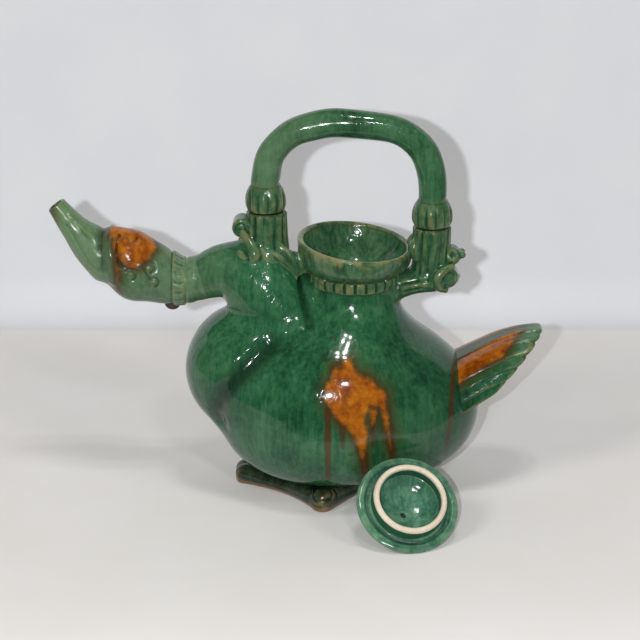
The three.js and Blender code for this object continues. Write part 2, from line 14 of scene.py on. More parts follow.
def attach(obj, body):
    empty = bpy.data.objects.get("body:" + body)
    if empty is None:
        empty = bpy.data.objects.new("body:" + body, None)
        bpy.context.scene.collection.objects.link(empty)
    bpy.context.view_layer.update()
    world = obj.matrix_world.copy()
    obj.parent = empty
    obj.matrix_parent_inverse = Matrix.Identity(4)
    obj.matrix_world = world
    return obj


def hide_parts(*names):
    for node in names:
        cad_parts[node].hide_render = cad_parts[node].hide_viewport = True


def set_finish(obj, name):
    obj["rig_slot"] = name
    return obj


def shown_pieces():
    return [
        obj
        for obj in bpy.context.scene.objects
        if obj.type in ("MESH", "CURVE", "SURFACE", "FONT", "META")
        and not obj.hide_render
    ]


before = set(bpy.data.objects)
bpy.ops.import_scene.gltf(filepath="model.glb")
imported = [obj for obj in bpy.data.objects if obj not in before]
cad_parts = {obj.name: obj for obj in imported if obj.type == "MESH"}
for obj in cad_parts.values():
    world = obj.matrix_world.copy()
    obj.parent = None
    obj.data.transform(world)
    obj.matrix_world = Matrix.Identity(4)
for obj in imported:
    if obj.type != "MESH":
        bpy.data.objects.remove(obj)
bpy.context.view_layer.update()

# %% [markdown]
# The camera stands where the photographer stood: square to the pot's left side, 20 degrees above it,
# and far enough away that the pot hardly narrows with distance.

# %% Camera
MM = 0.001
AIM = Vector((-5.85, 0.0, 101.5)) * MM
TILT = math.radians(20.0)
DISTANCE = 1.2
FOCAL_LENGTH, SENSOR = 115.4, 36.0

lens = bpy.data.cameras.new("camera")
lens.lens = FOCAL_LENGTH
lens.sensor_width = SENSOR
lens.clip_end = 20.0
camera = bpy.data.objects.new("camera", lens)
camera.location = AIM + DISTANCE * Vector((0.0, -math.cos(TILT), math.sin(TILT)))
camera.rotation_euler = (math.pi / 2 - TILT, 0.0, 0.0)
bpy.context.collection.objects.link(camera)
bpy.context.scene.camera = camera
print("camera at", [round(v, 3) for v in camera.location])

# %% [markdown]
# Wet clay has no hard joints: a potter lutes pieces together and smooths the slip over the seam.
# Distance fields do the same. Each form is a function that says how far a point lies outside it,
# and a smooth minimum of two such functions melts them into each other over a chosen width.
# Lengths in the fields are millimetres.

# %% Smooth joins
def melt(a, b, width):
    near = np.maximum(width - np.abs(a - b), 0.0) / width
    return np.minimum(a, b) - near * near * width / 4


def melt_all(fars, width):
    return reduce(lambda far, more: melt(far, more, width), fars)


def cut_soft(a, b, width):
    return -melt(-a, -b, width)


def rise(value, start, end):
    """0 up to start, 1 from end on, and smooth between. start may be the larger."""
    t = np.clip((value - start) / (end - start), 0.0, 1.0)
    return t * t * (3 - 2 * t)


def bump(value, middle, half):
    """1 at the middle, falling off to both sides."""
    return np.exp(-((value - middle) / half) ** 2)


print("two faces that meet melt", -melt(0.0, 0.0, 8.0), "mm deep over a width of 8 mm")

# %% [markdown]
# Creases, ribbons and brush strokes are chains of straight lengths, in space or in the side view.
# One function finds the nearest place on a length, and the others go along the chain with it.

# %% Lines and strokes
def on_length(at, a, b):
    """The nearest place on the length from a to b: its share of the way, and the squared gap to it."""
    steps = [end - start for start, end in zip(a, b)]
    run = sum((v - start) * step for v, start, step in zip(at, a, steps))
    t = np.clip(run / max(sum(step * step for step in steps), 1e-9), 0, 1)
    return t, sum((v - start - t * step) ** 2 for v, start, step in zip(at, a, steps))


def near_line(at, line):
    return reduce(np.minimum, (on_length(at, a, b)[1] for a, b in zip(line[:-1], line[1:])))


def groove(x, y, z, line, half):
    """1 on a line pressed into both sides, falling to 0 beside it. Its y counts out from the middle."""
    return np.exp(-near_line((x, np.abs(y), z), line) / half ** 2)


def stroke(x, z, line, half, deep):
    """A line cut (deep below zero) or raised along points (x, z) of the side view."""
    return deep * np.exp(-near_line((x, z), line) / half ** 2)


def taper(at, a, b):
    """Distance to a stroke that tapers from a to b. The last number of each is its radius."""
    t, gap = on_length(at, a[:-1], b[:-1])
    return np.sqrt(gap) - a[-1] - t * (b[-1] - a[-1])


def blot(x, z, strokes, width=2.0):
    """Distance inside a splash made of strokes that taper from (x, z, radius) to (x, z, radius)."""
    return -melt_all((taper((x, z), a, b) for a, b in strokes), width)


print("1 mm beside a cut, its depth is", stroke(0, 1, [(-5, 0), (5, 0)], 1.0, 1.0), "of the full one")

# %% [markdown]
# The neck, head and shelf are drawn through a row of stations, each with a half height and a half width.
# A smooth line runs through the stations, and a point's distance is measured from the nearest cross-section.

# %% A swept form
def smooth_row(values, count):
    values = np.array(values, float)
    padded = np.vstack([2 * values[0] - values[1], values, 2 * values[-1] - values[-2]])
    rows = []
    for t in np.linspace(0, len(values) - 1 - 1e-9, count):
        i = int(t)
        w = t - i
        p0, p1, p2, p3 = padded[i:i + 4]
        spans = (p1 - p0, p2 - p1, p3 - p2)
        d0, d1, d2 = (max(float(np.linalg.norm(span)) ** 0.5, 1e-3) for span in spans)
        m1 = ((p1 - p0) / d0 - (p2 - p0) / (d0 + d1) + (p2 - p1) / d1) * d1
        m2 = ((p2 - p1) / d1 - (p3 - p1) / (d1 + d2) + (p3 - p2) / d2) * d1
        c2 = -3 * p1 + 3 * p2 - 2 * m1 - m2
        c3 = 2 * p1 - 2 * p2 + m1 + m2
        rows.append(p1 + m1 * w + c2 * w * w + c3 * w ** 3)
    return np.array(rows)


def egg(u, v, high, wide):
    """About how far (u, v) lies outside an ellipse."""
    size = np.sqrt((u / high) ** 2 + (v / wide) ** 2)
    slope = np.sqrt((u / high ** 2) ** 2 + (v / wide ** 2) ** 2)
    return size * (size - 1) / np.maximum(slope, 1e-6)


class Sweep:
    """A form swept through stations of (x, z, half height, half width) in the duck's middle plane."""

    def __init__(self, stations, count):
        self.line = smooth_row([s[:2] for s in stations], count)
        self.sizes = smooth_row([s[2:] for s in stations], count)
        steps = np.linalg.norm(np.diff(self.line, axis=0), axis=1)
        self.reach = np.concatenate([[0.0], np.cumsum(steps)])
        self.length = self.reach[-1]

    def place(self, x, z):
        """The nearest place on the line: how far along it, above it, and beyond its nearer end."""
        best = np.full(np.broadcast(x, z).shape, 1e12)
        along, above, beyond = (np.zeros_like(best) for _ in range(3))
        last = len(self.line) - 2
        for i in range(last + 1):
            a, b = self.line[i], self.line[i + 1]
            d = b - a
            span = float(np.linalg.norm(d))
            d = d / span
            t = (x - a[0]) * d[0] + (z - a[1]) * d[1]
            held = np.clip(t, 0.0, span)
            gap = (x - a[0] - held * d[0]) ** 2 + (z - a[1] - held * d[1]) ** 2
            nearer = gap < best
            best = np.where(nearer, gap, best)
            up = (-d[1], d[0]) if d[0] > 0 else (d[1], -d[0])
            height = (x - a[0]) * up[0] + (z - a[1]) * up[1]
            past = (i == 0) * np.maximum(-t, 0.0) + (i == last) * np.maximum(t - span, 0.0)
            along = np.where(nearer, self.reach[i] + held, along)
            above = np.where(nearer, height, above)
            beyond = np.where(nearer, past, beyond)
        return along, above, np.where(beyond > 0, beyond, -np.minimum(along, self.length - along))

    def section(self, x, y, z, grow=0.0, relief=None):
        """How far outside the cross-section, and how far beyond the line's ends."""
        along, above, beyond = self.place(x, z)
        high = np.interp(along, self.reach, self.sizes[:, 0]) + grow
        wide = np.interp(along, self.reach, self.sizes[:, 1]) + grow
        far = egg(above, y, high, wide)
        if relief is not None:
            far = far - relief(along, np.arctan2(y / wide, above / high))
        return far, along, beyond

    def __call__(self, x, y, z, relief=None):
        far, _, beyond = self.section(x, y, z, relief=relief)
        return np.maximum(far, beyond)


print("three points make a row of", len(smooth_row([(0, 0), (1, 1), (2, 0)], 9)))

# %% [markdown]
# A field becomes a mesh in two steps. A grid of samples is turned into quads where the field changes sign,
# and then every corner is slid along the field's slope onto the exact surface, which keeps fine relief crisp.
# The slope is also the surface's normal there, so a coarse mesh still shades smoothly.

# %% From field to mesh
SIDES = np.array([[1, 1, 1], [1, -1, -1], [-1, 1, -1], [-1, -1, 1]], float)


def slope_of(field, points, reach):
    """Value and slope at each point from four samples round it."""
    value = np.zeros(len(points))
    slope = np.zeros((len(points), 3))
    for side in SIDES:
        moved = points + side * reach
        sample = field(moved[:, 0], moved[:, 1], moved[:, 2])
        value += sample / 4
        slope += sample[:, None] * side / (4 * reach)
    return value, slope


def skin(field, low, high, step, reach=0.3):
    """Points, quads and normals of the surface where the field is zero, in millimetres."""
    axes = [np.arange(a, b + step, step) for a, b in zip(low, high)]
    x, y, z = np.meshgrid(*axes, indexing="ij", sparse=True)
    shape = tuple(len(axis) for axis in axes)
    values = np.broadcast_to(field(x, y, z), shape).astype(np.float32).copy()
    for axis in range(3):
        for edge in (0, -1):
            index = [slice(None)] * 3
            index[axis] = edge
            values[tuple(index)] = np.maximum(values[tuple(index)], step)
    grid = openvdb.FloatGrid(3 * step)
    grid.copyFromArray(np.clip(values, -3 * step, 3 * step))
    points, quads = grid.convertToQuads()
    points = np.array(points, float) * step + np.array(low)
    quads = np.array(quads)
    for _ in range(3):
        value, slope = slope_of(field, points, reach)
        length = np.maximum(np.linalg.norm(slope, axis=1), 0.3)
        move = np.clip(value / length, -0.6 * step, 0.6 * step)
        points -= slope / length[:, None] * move[:, None]
    _, slope = slope_of(field, points, reach)
    normals = slope / np.maximum(np.linalg.norm(slope, axis=1), 1e-6)[:, None]
    corners = points[quads]
    turn = np.cross(corners[:, 2] - corners[:, 0], corners[:, 3] - corners[:, 1])
    if np.sum(turn * normals[quads[:, 0]]) < 0:
        quads = quads[:, ::-1]
    return points, quads, normals


test_ball = skin(lambda x, y, z: np.sqrt(x * x + y * y + z * z) - 5, (-7, -7, -7), (7, 7, 7), 1.0)
print("a ball 10 mm across takes", len(test_ball[0]), "points at a step of 1 mm")

# %% [markdown]
# Lead glaze runs off ridges and gathers in hollows, so its colour follows the relief, and the hollows are
# painted darker as shade too. Each mesh carries
# two numbers for that at every corner: how sharply the surface bends there, and the same seen more broadly.
# Five more marks are painted on it: the amber splash, its drips, worn thin glaze, pale glaze, and dark gathered
# glaze that also carries painted shade.

# %% Bend of the surface
def bend_of(points, quads, normals, spread):
    edges = np.vstack([quads[:, [0, 1]], quads[:, [1, 2]], quads[:, [2, 3]], quads[:, [3, 0]]])
    a, b = edges[:, 0], edges[:, 1]
    run = points[b] - points[a]
    bend = np.sum((normals[b] - normals[a]) * run, axis=1) / np.maximum(np.sum(run * run, axis=1), 1e-6)
    count = np.bincount(a, minlength=len(points)) + np.bincount(b, minlength=len(points))
    count = np.maximum(count, 1)
    total = np.bincount(a, bend, len(points)) + np.bincount(b, bend, len(points))
    value = total / count
    for _ in range(spread):
        total = np.bincount(a, value[b], len(points)) + np.bincount(b, value[a], len(points))
        value = 0.5 * value + 0.5 * total / count
    return value


NO_PAINT = {"amber": -20.0, "drip": -20.0, "thin": 0.0, "pale": 0.0, "pool": 0.0}


def piece(name, points, quads, normals, nodes=None, slot="relief_glaze", body="pot", paint=None):
    """Makes the Blender object, hides the CAD nodes that it stands for, and hangs it on its body."""
    mesh = bpy.data.meshes.new(name)
    mesh.from_pydata((points * MM).tolist(), [], quads.tolist())
    mesh.polygons.foreach_set("use_smooth", [True] * len(mesh.polygons))
    marks = {"bend": bend_of(points, quads, normals, 2), "broad_bend": bend_of(points, quads, normals, 14)}
    marks |= {label: np.full(len(points), value) for label, value in NO_PAINT.items()}
    for label, value in (paint or {}).items():
        marks[label] = value(*points.T) if callable(value) else value
    for label, value in marks.items():
        mesh.attributes.new(label, "FLOAT", "POINT").data.foreach_set("value", value.astype(np.float32))
    mesh.normals_split_custom_set_from_vertices(normals.tolist())
    made = bpy.data.objects.new(name, mesh)
    bpy.context.collection.objects.link(made)
    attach(made, body)
    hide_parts(*(nodes or (name,)))
    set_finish(made, slot)
    print(f"{name}: {len(points)} points")


def carve(name, field, low, high, step, nodes=None, slot="relief_glaze", paint=None, reach=0.3):
    piece(name, *skin(field, low, high, step, reach), nodes, slot, paint=paint)


def fade(axis, start, end, strength):
    """Paint that grows from none at start to full strength at end, along one axis."""
    return lambda x, y, z: strength * rise({"x": x, "z": z}[axis], start, end)


# %% [markdown]
# The body is pressed in two moulds. Its form is three eggs that melt together: a deep belly with a flat,
# squarish underside, a breast in front and a rump behind, with a throat rising out of the top.
# Two creases on each side are pressed deeper by hand: one between neck and throat, one behind the breast.

# %% Body form
WALL = 4.5
BELLY_Z = 60.5
THROAT_X = 14.2
THROAT_TOP = 129.0
THROAT_RADIUS = 24.0
CREASE = [(-17.6, 8.5, 132.5), (-16.6, 11.8, 129.3), (-15.6, 15.1, 125.3),
          (-14.2, 18.6, 120.5), (-12.7, 22.8, 114.7), (-11.6, 27.5, 108.8)]
BREAST_LINE = [(-34.4, 33.5, 98.3), (-42.8, 38.4, 91.3), (-51.4, 40.8, 83.1), (-58.4, 40.2, 75),
               (-63.2, 37.7, 66.5), (-65.8, 31, 54.5), (-64, 27, 47)]


def lobe(x, y, z, at, long, wide, high, squareness=2.0):
    qx, qy, qz = (x - at[0]) / long, y / wide, (z - at[1]) / high
    slope = np.sqrt((qx / long) ** 2 + (qy / wide) ** 2 + (qz / high) ** 2)
    power = np.where(qz < 0, squareness, 2.0)
    flat = qx * qx + qy * qy
    size = (flat ** (power / 2) + np.abs(qz) ** power) ** (1 / power)
    return np.sqrt(flat + qz * qz) * (size - 1) / np.maximum(slope, 1e-6)


def creases(x, y, z):
    """How deep both lines are pressed in. The one behind the breast is shallow at its lower end."""
    behind_breast = 4.6 * groove(x, y, z, BREAST_LINE, 4.8) * (0.3 + 0.7 * rise(z, 40, 54))
    return 3.6 * groove(x, y, z, CREASE, 2.3) + behind_breast


def pools_and_shade(x, y, z):
    """Where the glaze gathers thick and dark along the creases, which are painted darker as shade as well.
    Towards the rump, below the shoulder, the body is also painted darker as shade.
    """
    lines = 1.5 * groove(x, y, z, CREASE, 1.9) + 1.05 * groove(x, y, z, BREAST_LINE, 5.4) * rise(z, 38, 52)
    return lines + 0.30 * rise(x, 15, 60) * rise(z, 118, 103)


def body_far(x, y, z):
    belly = lobe(x, y, z, (2, BELLY_Z), 69, 62, 52.5, 3.0)
    front = melt(belly, lobe(x, y, z, (-45.5, 72.5), 39.5, 43, 38.5), 9)
    lobes = melt(front, lobe(x, y, z, (50, 50), 38, 47, 36), 18)
    throat = np.hypot(x - THROAT_X, y) - THROAT_RADIUS
    return np.where(z > BELLY_Z, melt(lobes, throat, 20), lobes)


print("wall", WALL, "mm, throat", 2 * THROAT_RADIUS, "mm across")

# %% [markdown]
# The neck grows out of the shoulder, bends forward and ends where the head is luted on.
# The head swells to the cheeks and runs out into a long upturned beak, which is the spout.

# %% Neck and head forms
neck = Sweep([(-9, 84, 20, 27), (-19, 99, 23.5, 28), (-30, 112, 24, 26), (-41, 124, 23.5, 23),
              (-52, 129.9, 21, 19.5), (-62, 131.6, 16.2, 15.6), (-72.5, 128.6, 13.4, 13.2),
              (-76, 127.6, 12.8, 12.8)], 130)
head = Sweep([(-72.8, 128.4, 13.2, 13.1), (-79, 126.9, 13.0, 12.9), (-86, 126.0, 13.5, 13.4),
              (-94, 127.4, 15.4, 14.2), (-105, 132, 17.8, 15.6), (-117, 137, 20, 16.2),
              (-128, 142.4, 17.6, 14.6), (-137.5, 148.2, 12.6, 11.6), (-147, 158, 8.2, 8.2),
              (-157.2, 172, 5.4, 5.8)], 120)
print("neck", round(neck.length, 1), "mm long, head", round(head.length, 1), "mm long")

# %% [markdown]
# Each end of the handle stands in a fluted cuff. The cuffs' flutes are pressed with a round stick,
# so each flute is a soft rib with a narrow groove on either side.

# %% Cuff forms
FRONT_X, REAR_X = -36.5, 58.6
FRONT_TOP, REAR_TOP = 168.4, 159.2
FLUTES = 13


def crest_of(turn, count):
    """1 on top of each rib and 0 in the groove between two."""
    return 0.5 + 0.5 * np.cos(count * turn)


def ribs_of(turn, count, depth):
    return depth * (1 - crest_of(turn, count) ** 0.45)


def column(x, y, z, at_x, low, high, shares, radii, depth):
    """A fluted cuff. radii are its radii at shares of the way up."""
    share = (z - low) / (high - low)
    turn = np.arctan2(y, x - at_x)
    uneven = turn + 0.07 * np.sin(3 * turn + 1) + 0.05 * np.sin(share * 5)
    side = np.hypot(x - at_x, y) - np.interp(share, shares, radii) + ribs_of(uneven, FLUTES, depth)
    return cut_soft(np.maximum(side * 0.95, low - z), z - high, 1.5)


def front_cuff_far(x, y, z):
    radii = [20.5, 15.6, 13.2, 12.1, 11.8]
    return column(x, y, z, FRONT_X, 118, FRONT_TOP, [0, 0.3, 0.5, 0.75, 1], radii, 0.9)


def rear_cuff_far(x, y, z):
    knot = rope_far(x, y, z, [(50, 5, 153), (48, 6.2, 148), (49, 7, 142)], [1.5, 3.4, 2.2])
    return melt(column(x, y, z, REAR_X, 126, REAR_TOP, [0, 0.5, 1], [12.4, 11.0, 11.2], 0.8), knot, 1.5)


shelf = Sweep([(30, 119, 8, 9), (40, 123.6, 8, 11), (50, 126.4, 7.4, 12.2), (60, 127.6, 7.6, 12.4),
               (68.5, 129.6, 7.2, 10), (72.5, 133, 4.6, 6)], 30)


def shelf_relief(along, turn):
    side = np.abs(turn)
    grooves = bump(side, 1.22, 0.12) + bump(side, 1.78, 0.13)
    return -0.85 * grooves * rise(along, 8, 16) * rise(along, 42, 36)


def shelf_far(x, y, z):
    return shelf(x, y, z, relief=shelf_relief)


print("cuffs at x", FRONT_X, "and", REAR_X, "mm,", FLUTES, "flutes each")

# %% [markdown]
# The sashes and bows are rolled and pinched by hand from soft clay ropes: each is a chain of
# short tapering lengths between points, laid on both sides of the pot.

# %% Ribbon forms
def rope_far(x, y, z, points, radii):
    """Distance to a clay rope. A point is (x, y, z) with y counted out from the middle plane."""
    rows = smooth_row([(*p, r) for p, r in zip(points, radii)], 4 * len(points))
    return reduce(np.minimum, (taper((x, np.abs(y), z), a, b) for a, b in zip(rows[:-1], rows[1:])))


SASHES = {
    "left": [
        ([(-25, 6.4, 142.6), (-20, 8, 142.2), (-16.5, 8.6, 140), (-14.5, 10, 136)], [4.2, 3.8, 3.2, 2.6]),
        ([(-38.6, 12.2, 148.2), (-35.6, 12.8, 144.8), (-33, 13, 142.6)], [0.8, 1.6, 1.0]),
        ([(-33.5, 12.6, 147), (-29, 12.6, 144.5), (-25.7, 11.8, 141.6), (-22.6, 11.2, 138.4),
          (-20.4, 10.8, 134.6), (-18.6, 11.4, 129.6)], [0.9, 1.5, 1.7, 1.9, 1.7, 0.9]),
        ([(-28, 8.4, 148.6), (-24.8, 10.2, 147), (-22.4, 11.2, 144), (-20.2, 11.4, 138.6),
          (-18.2, 11.4, 131)], [1.2, 1.6, 1.7, 1.5, 1.0]),
        ([(-18.4, 10, 146), (-17.2, 11.2, 141), (-16.8, 11.6, 135), (-17, 11.6, 131)], [1.1, 1.6, 1.4, 0.9]),
    ],
    "right": [
        ([(-27, 9, 141), (-22, 12, 138), (-18.6, 13, 134), (-17, 12.4, 129.5)], [1.8, 2.2, 2.0, 1.0]),
        ([(-38, 13.2, 146), (-31, 14, 142), (-24, 12.6, 136.5), (-18, 12.4, 130)], [1.2, 2.2, 2.2, 1.0]),
    ],
}


def sash_far(x, y, z):
    left, right = (melt_all((rope_far(x, y, z, *ribbon) for ribbon in side), 1.8) for side in SASHES.values())
    return np.where(y < 0, left, right)


def drum(x, y, z, at, radius, half, turns, depth=1.1):
    """A rolled ribbon seen from its end: a drum across the pot with the roll's spiral on both faces."""
    dx, dz = x - at[0], z - at[1]
    gap = np.hypot(dx, dz)
    edge = 1.8
    out = np.abs(y) - half
    body = np.hypot(np.maximum(gap - radius + edge, 0), np.maximum(out + edge, 0)) - edge
    body = np.maximum(body, np.maximum(gap - radius, out))
    pitch = radius / (turns + 0.5)
    phase = np.mod(gap / pitch - np.arctan2(dz, dx) / (2 * np.pi), 1.0) - 0.5
    line = bump(phase * pitch, 0, 0.65) * rise(gap, 0.3, 1.1) * rise(gap, radius, radius - 0.8)
    return body + depth * line * rise(out, -3.0, -1.5)


def front_bow_far(x, y, z):
    roll = drum(x, y, z, (-50.5, 159.5), 5.8, 7.0, 1.0, 0.6)
    strap = rope_far(x, y, z, [(-50, 7, 157), (-47.4, 9.8, 154), (-44.6, 12.4, 150), (-43.4, 14, 146),
                               (-44.6, 15, 142.5)], [2.2, 2.6, 3.3, 3.6, 1.8])
    leaf = rope_far(x, y, z, [(-51.5, 12.5, 146.5), (-49, 14.5, 144)], [2.2, 1.6])
    return melt(melt(roll, strap, 1.2), leaf, 1.5)


def rear_bow_far(x, y, z):
    boss = rope_far(x, y, z, [(69.8, 0, 141.6), (70.2, 2.4, 141.8)], [5.6, 5.4])
    pit = 2.6 * np.exp(-((x - 70.6) ** 2 + (z - 143.6) ** 2) / 3.0) * rise(np.abs(y), 4, 6)
    nub = rope_far(x, y, z, [(74.6, 0, 142), (76.3, 3.4, 142.6)], [2.4, 2.0])
    coil = drum(x, y, z, (69, 130.4), 4.8, 8.0, 0.8)
    strap = rope_far(x, y, z, [(70, 8.4, 137.2), (65.4, 10.6, 135.6), (61.6, 11.6, 131), (62.6, 11.6, 126.2),
                               (66.5, 9.6, 123.4)], [1.8, 2.5, 2.9, 2.6, 1.8])
    return melt(melt(boss + pit, nub, 0.8), melt(coil, strap, 1.2), 1.0)


print("sash strands", {side: len(strands) for side, strands in SASHES.items()})

# %% [markdown]
# One rule joins all of these. The whole outside is the melted sum of the forms, and each piece takes the part
# of it that lies nearest to its own form. Just beyond its border a piece sinks under its neighbour,
# so a joint shows no step, as slip smoothed over with a wet finger.

# %% Luting the pieces together
luted = {
    "body": (body_far, 0),
    "neck": (neck, 8),
    "front_cuff": (front_cuff_far, 6),
    "shelf": (shelf_far, 4),
    "rear_cuff": (rear_cuff_far, 3),
    "sash": (sash_far, 3.0),
    "front_bow": (front_bow_far, 1.2),
    "rear_bow": (rear_bow_far, 1.2),
}


def luted_piece(own, margin, near):
    """The field of one piece. near names the neighbours that it melts into."""
    def field(x, y, z):
        fars = {name: form(x, y, z) for name, (form, _) in luted.items() if name == own or name in near}
        first, *rest = fars
        total = reduce(lambda far, name: melt(far, fars[name], luted[name][1]), rest, fars[first])
        others = reduce(np.minimum, (far for name, far in fars.items() if name != own))
        sink = 0.7 * np.clip((fars[own] - others) / 1.5, 0, 1) ** 2
        if own in ("body", "neck", "sash"):
            sink = sink + creases(x, y, z)
        return np.maximum(total + sink, fars[own] - margin)
    return field


def hollow(field):
    return lambda x, y, z: np.maximum(field(x, y, z), -(body_far(x, y, z) + WALL))


print("forms that melt together", list(luted))

# %% [markdown]
# Amber glaze was brushed over the green on each flank, where it ran in streaks before it set, and over each eye.
# The shapes are drawn in the side view, as the distance inside the splash in millimetres.
# A streak is a short chain of circles, and where it thins the amber turns to brown.

# %% Amber splashes
def flank_amber(x, y, z):
    return -1.5 * rise(z, 52, 36) + blot(x, z, [
        ((3.5, 90, 3.0), (4.5, 80, 6.5)), ((9, 90, 5.0), (12, 76, 12.5)), ((5, 78, 9.5), (10, 70, 9.5)),
        ((18, 80, 7.5), (26, 75, 6.0)), ((12, 66, 7.5), (17, 55, 4.2)), ((17, 55, 3.6), (19.8, 30, 2.2)),
        ((29, 74, 3.4), (32.6, 56, 1.9)), ((32.6, 56, 1.9), (35.6, 36, 1.5)),
        ((24.5, 68, 3.0), (24.4, 60, 1.4)),
    ])


def flank_drip(x, y, z):
    return blot(x, z, [
        ((-1.6, 70, 2.0), (-1.2, 24, 1.4)), ((6.6, 66, 2.4), (6.8, 47, 0.7)),
        ((24, 62, 1.8), (24.2, 46, 0.7)), ((19.4, 42, 2.2), (20.2, 20, 2.0)),
        ((35, 46, 1.8), (36.5, 26, 1.6)), ((72.5, 84, 1.0), (70.3, 72, 1.5)),
        ((70.3, 72, 1.5), (67.9, 44, 1.2)), ((67.9, 44, 1.2), (66.5, 30, 0.2)),
    ], 1.0)


print("splash reaches", round(float(flank_amber(12.0, 0.0, 76.0)), 1), "mm in from its edge")

# %% [markdown]
# The large pieces are carved first. The body's mesh is a little coarse, because its form is smooth,
# and the cuffs, bows and sashes get a fine grid for their grooves.

# %% Body, neck and the luted pieces
STEP = 1.3
FINE = 0.6

body_form = hollow(luted_piece("body", 5.0, ("neck", "front_cuff", "shelf", "sash")))
carve("body", lambda x, y, z: np.maximum(body_form(x, y, z), z - THROAT_TOP),
      (-90, -66, 5), (92, 66, 131), STEP, ("body_left", "body_right"), "green_glaze",
      {"amber": flank_amber, "drip": flank_drip, "pool": pools_and_shade})
carve("neck", hollow(luted_piece("neck", 5.0, ("body", "front_cuff", "sash", "front_bow"))),
      (-79, -32, 66), (0, 32, 156), STEP * 0.8, ("duck_neck",), "green_glaze",
      {"pale": fade("x", -45, -70, 0.3), "pool": pools_and_shade}, 0.9)


def cuff_paint(at_x, low, strength, top):
    """Thin glaze on the ribs, and a dark ring where the bulb sits."""
    def shine(x, y, z):
        turn = np.arctan2(y, x - at_x)
        uneven = 0.7 + 0.4 * np.sin(2 * turn + 1.2)
        return strength * crest_of(turn, FLUTES) * uneven * rise(z, low, low + 12)
    return {"thin": shine, "pool": fade("z", top - 2, top - 0.4, 0.5)}


carve("front_cuff", hollow(luted_piece("front_cuff", 2.5, ("body", "neck", "sash", "front_bow"))),
      (-60, -23, 115), (-14, 23, 170), FINE, paint=cuff_paint(FRONT_X, 138, 0.9, FRONT_TOP))
carve("rear_cuff", hollow(luted_piece("rear_cuff", 2.0, ("shelf", "rear_bow"))),
      (43, -15, 123), (74, 15, 161), FINE, paint=cuff_paint(REAR_X, 134, 0.45, REAR_TOP))
carve("handle_shelf", hollow(luted_piece("shelf", 3.0, ("body", "rear_cuff", "rear_bow"))),
      (26, -18, 106), (80, 18, 142), FINE)

# %% [markdown]
# The ribbons are kept apart as left and right, because each is its own strip of clay.

# %% Sashes and bows
sash = luted_piece("sash", 1.6, ("body", "neck", "front_cuff"))
carve("sash_left", sash, (-42, -18, 124), (-12, -1, 155), FINE)
carve("sash_right", sash, (-42, 3, 124), (-12, 18, 152), FINE)
carve("front_bow", luted_piece("front_bow", 1.6, ("neck", "front_cuff")),
      (-60, -21, 132), (-36, 21, 169), FINE)
carve("rear_bow", luted_piece("rear_bow", 1.6, ("shelf", "rear_cuff")),
      (54, -16, 118), (81, 16, 151), FINE)

# %% [markdown]
# The head's relief was cut and modelled by hand in soft clay: a ridge round the face, an eye under its brow,
# a groove along the beak and scrolls on the cheek. All are drawn in the side view, as heights in millimetres.

# %% Head and beak
# Each cut is a line, its half width and its height, which is below zero where it is cut in
FACE_RIM = [
    ([(-124.8, 163), (-125.8, 157.5), (-126.4, 152), (-125.4, 146), (-124.2, 140), (-123.6, 134),
      (-125, 129)], 2.0, 1.6),
    ([(-129.6, 166), (-130.2, 160), (-131.4, 154), (-131.4, 149)], 2.3, -1.5),
]
FACE_CUTS = [
    ([(-121, 156), (-122, 151.6), (-122.3, 147), (-121.6, 142.5), (-119.8, 140)], 1.2, -0.9),
    ([(-120.4, 155.2), (-119, 153.8), (-116.4, 153.9), (-113.8, 152.4), (-111.8, 152.3),
      (-110.4, 154.2)], 1.1, -0.8),
    ([(-119.6, 143.4), (-116, 142.6), (-113.4, 143.6)], 0.9, 0.5),
    ([(-119.6, 140), (-117, 139.4), (-114.8, 137.8), (-112, 137.6)], 1.1, -0.6),
    ([(-108.7, 139.4), (-107.9, 136), (-105.9, 132.6)], 1.0, 0.7),
    ([(-107, 139.6), (-106, 136.2), (-103.6, 133)], 0.7, -0.6),
    ([(-131.4, 149), (-130.4, 142), (-130.8, 138), (-133.4, 136.8), (-137, 139.4), (-140.5, 145),
      (-143.4, 149.8), (-147, 156), (-150.5, 161.5)], 1.6, -0.8),
    ([(-132.6, 149), (-137.2, 152.8), (-142.4, 158), (-146.4, 163.4)], 1.3, -0.5),
    ([(-135.6, 155.6), (-140, 158.6), (-144, 162.4), (-148.6, 168)], 1.2, 0.6),
]
# Each curl is its middle, the knob's radius and height, and the radius and depth of the ring
CURLS = [((-114.3, 134.6), 2.2, 0.7, 3.0, 0.6), ((-103.6, 138.4), 2.3, 0.9, 3.1, 0.7),
         ((-101.2, 129.9), 2.0, 0.8, 2.7, 0.7)]


def knob(x, z, at, radius, height):
    gap = ((x - at[0]) ** 2 + (z - at[1]) ** 2) / radius ** 2
    return height * np.exp(-gap ** 2)


def curl(x, z, at, radius, height, ring, deep):
    """A knob in a soft ring that is open towards the lower left, as a curled leaf."""
    gap = np.hypot(x - at[0], z - at[1])
    turn = np.arctan2(z - at[1], x - at[0])
    open_side = rise(np.cos(turn - 0.6), -0.75, -0.15)
    return knob(x, z, at, radius, height) - deep * bump(gap, ring, 1.15) * open_side


def head_marks(x, y, z):
    face = knob(x, z, (-116, 147), 4.8, 1.5) + sum(stroke(x, z, *cut) for cut in FACE_CUTS)
    face = face + sum(curl(x, z, *spot) for spot in CURLS)
    rim = sum(stroke(x, z, *cut) for cut in FACE_RIM)
    side = rise(np.abs(y), 3, 7)
    ring = 0.35 * rise(x, -83.2, -81.8) * rise(x, -77.6, -79) - 0.45 * bump(x, -91.2, 0.9)
    chin = 1.8 * bump(x, -114.5, 8) - 2.6 * bump(x, -129, 5.5) * rise(z, 138, 129)
    return face * side + rim * (0.55 + 0.45 * side) + ring + chin * rise(z, 134, 124)


def head_far(x, y, z):
    far, along, beyond = head.section(x, y, z)
    hole, _, _ = head.section(x, y, z, -1.7)
    bore = np.maximum(hole, head.length - 30 - along)
    return np.maximum(np.maximum(far - head_marks(x, y, z), beyond), -bore)
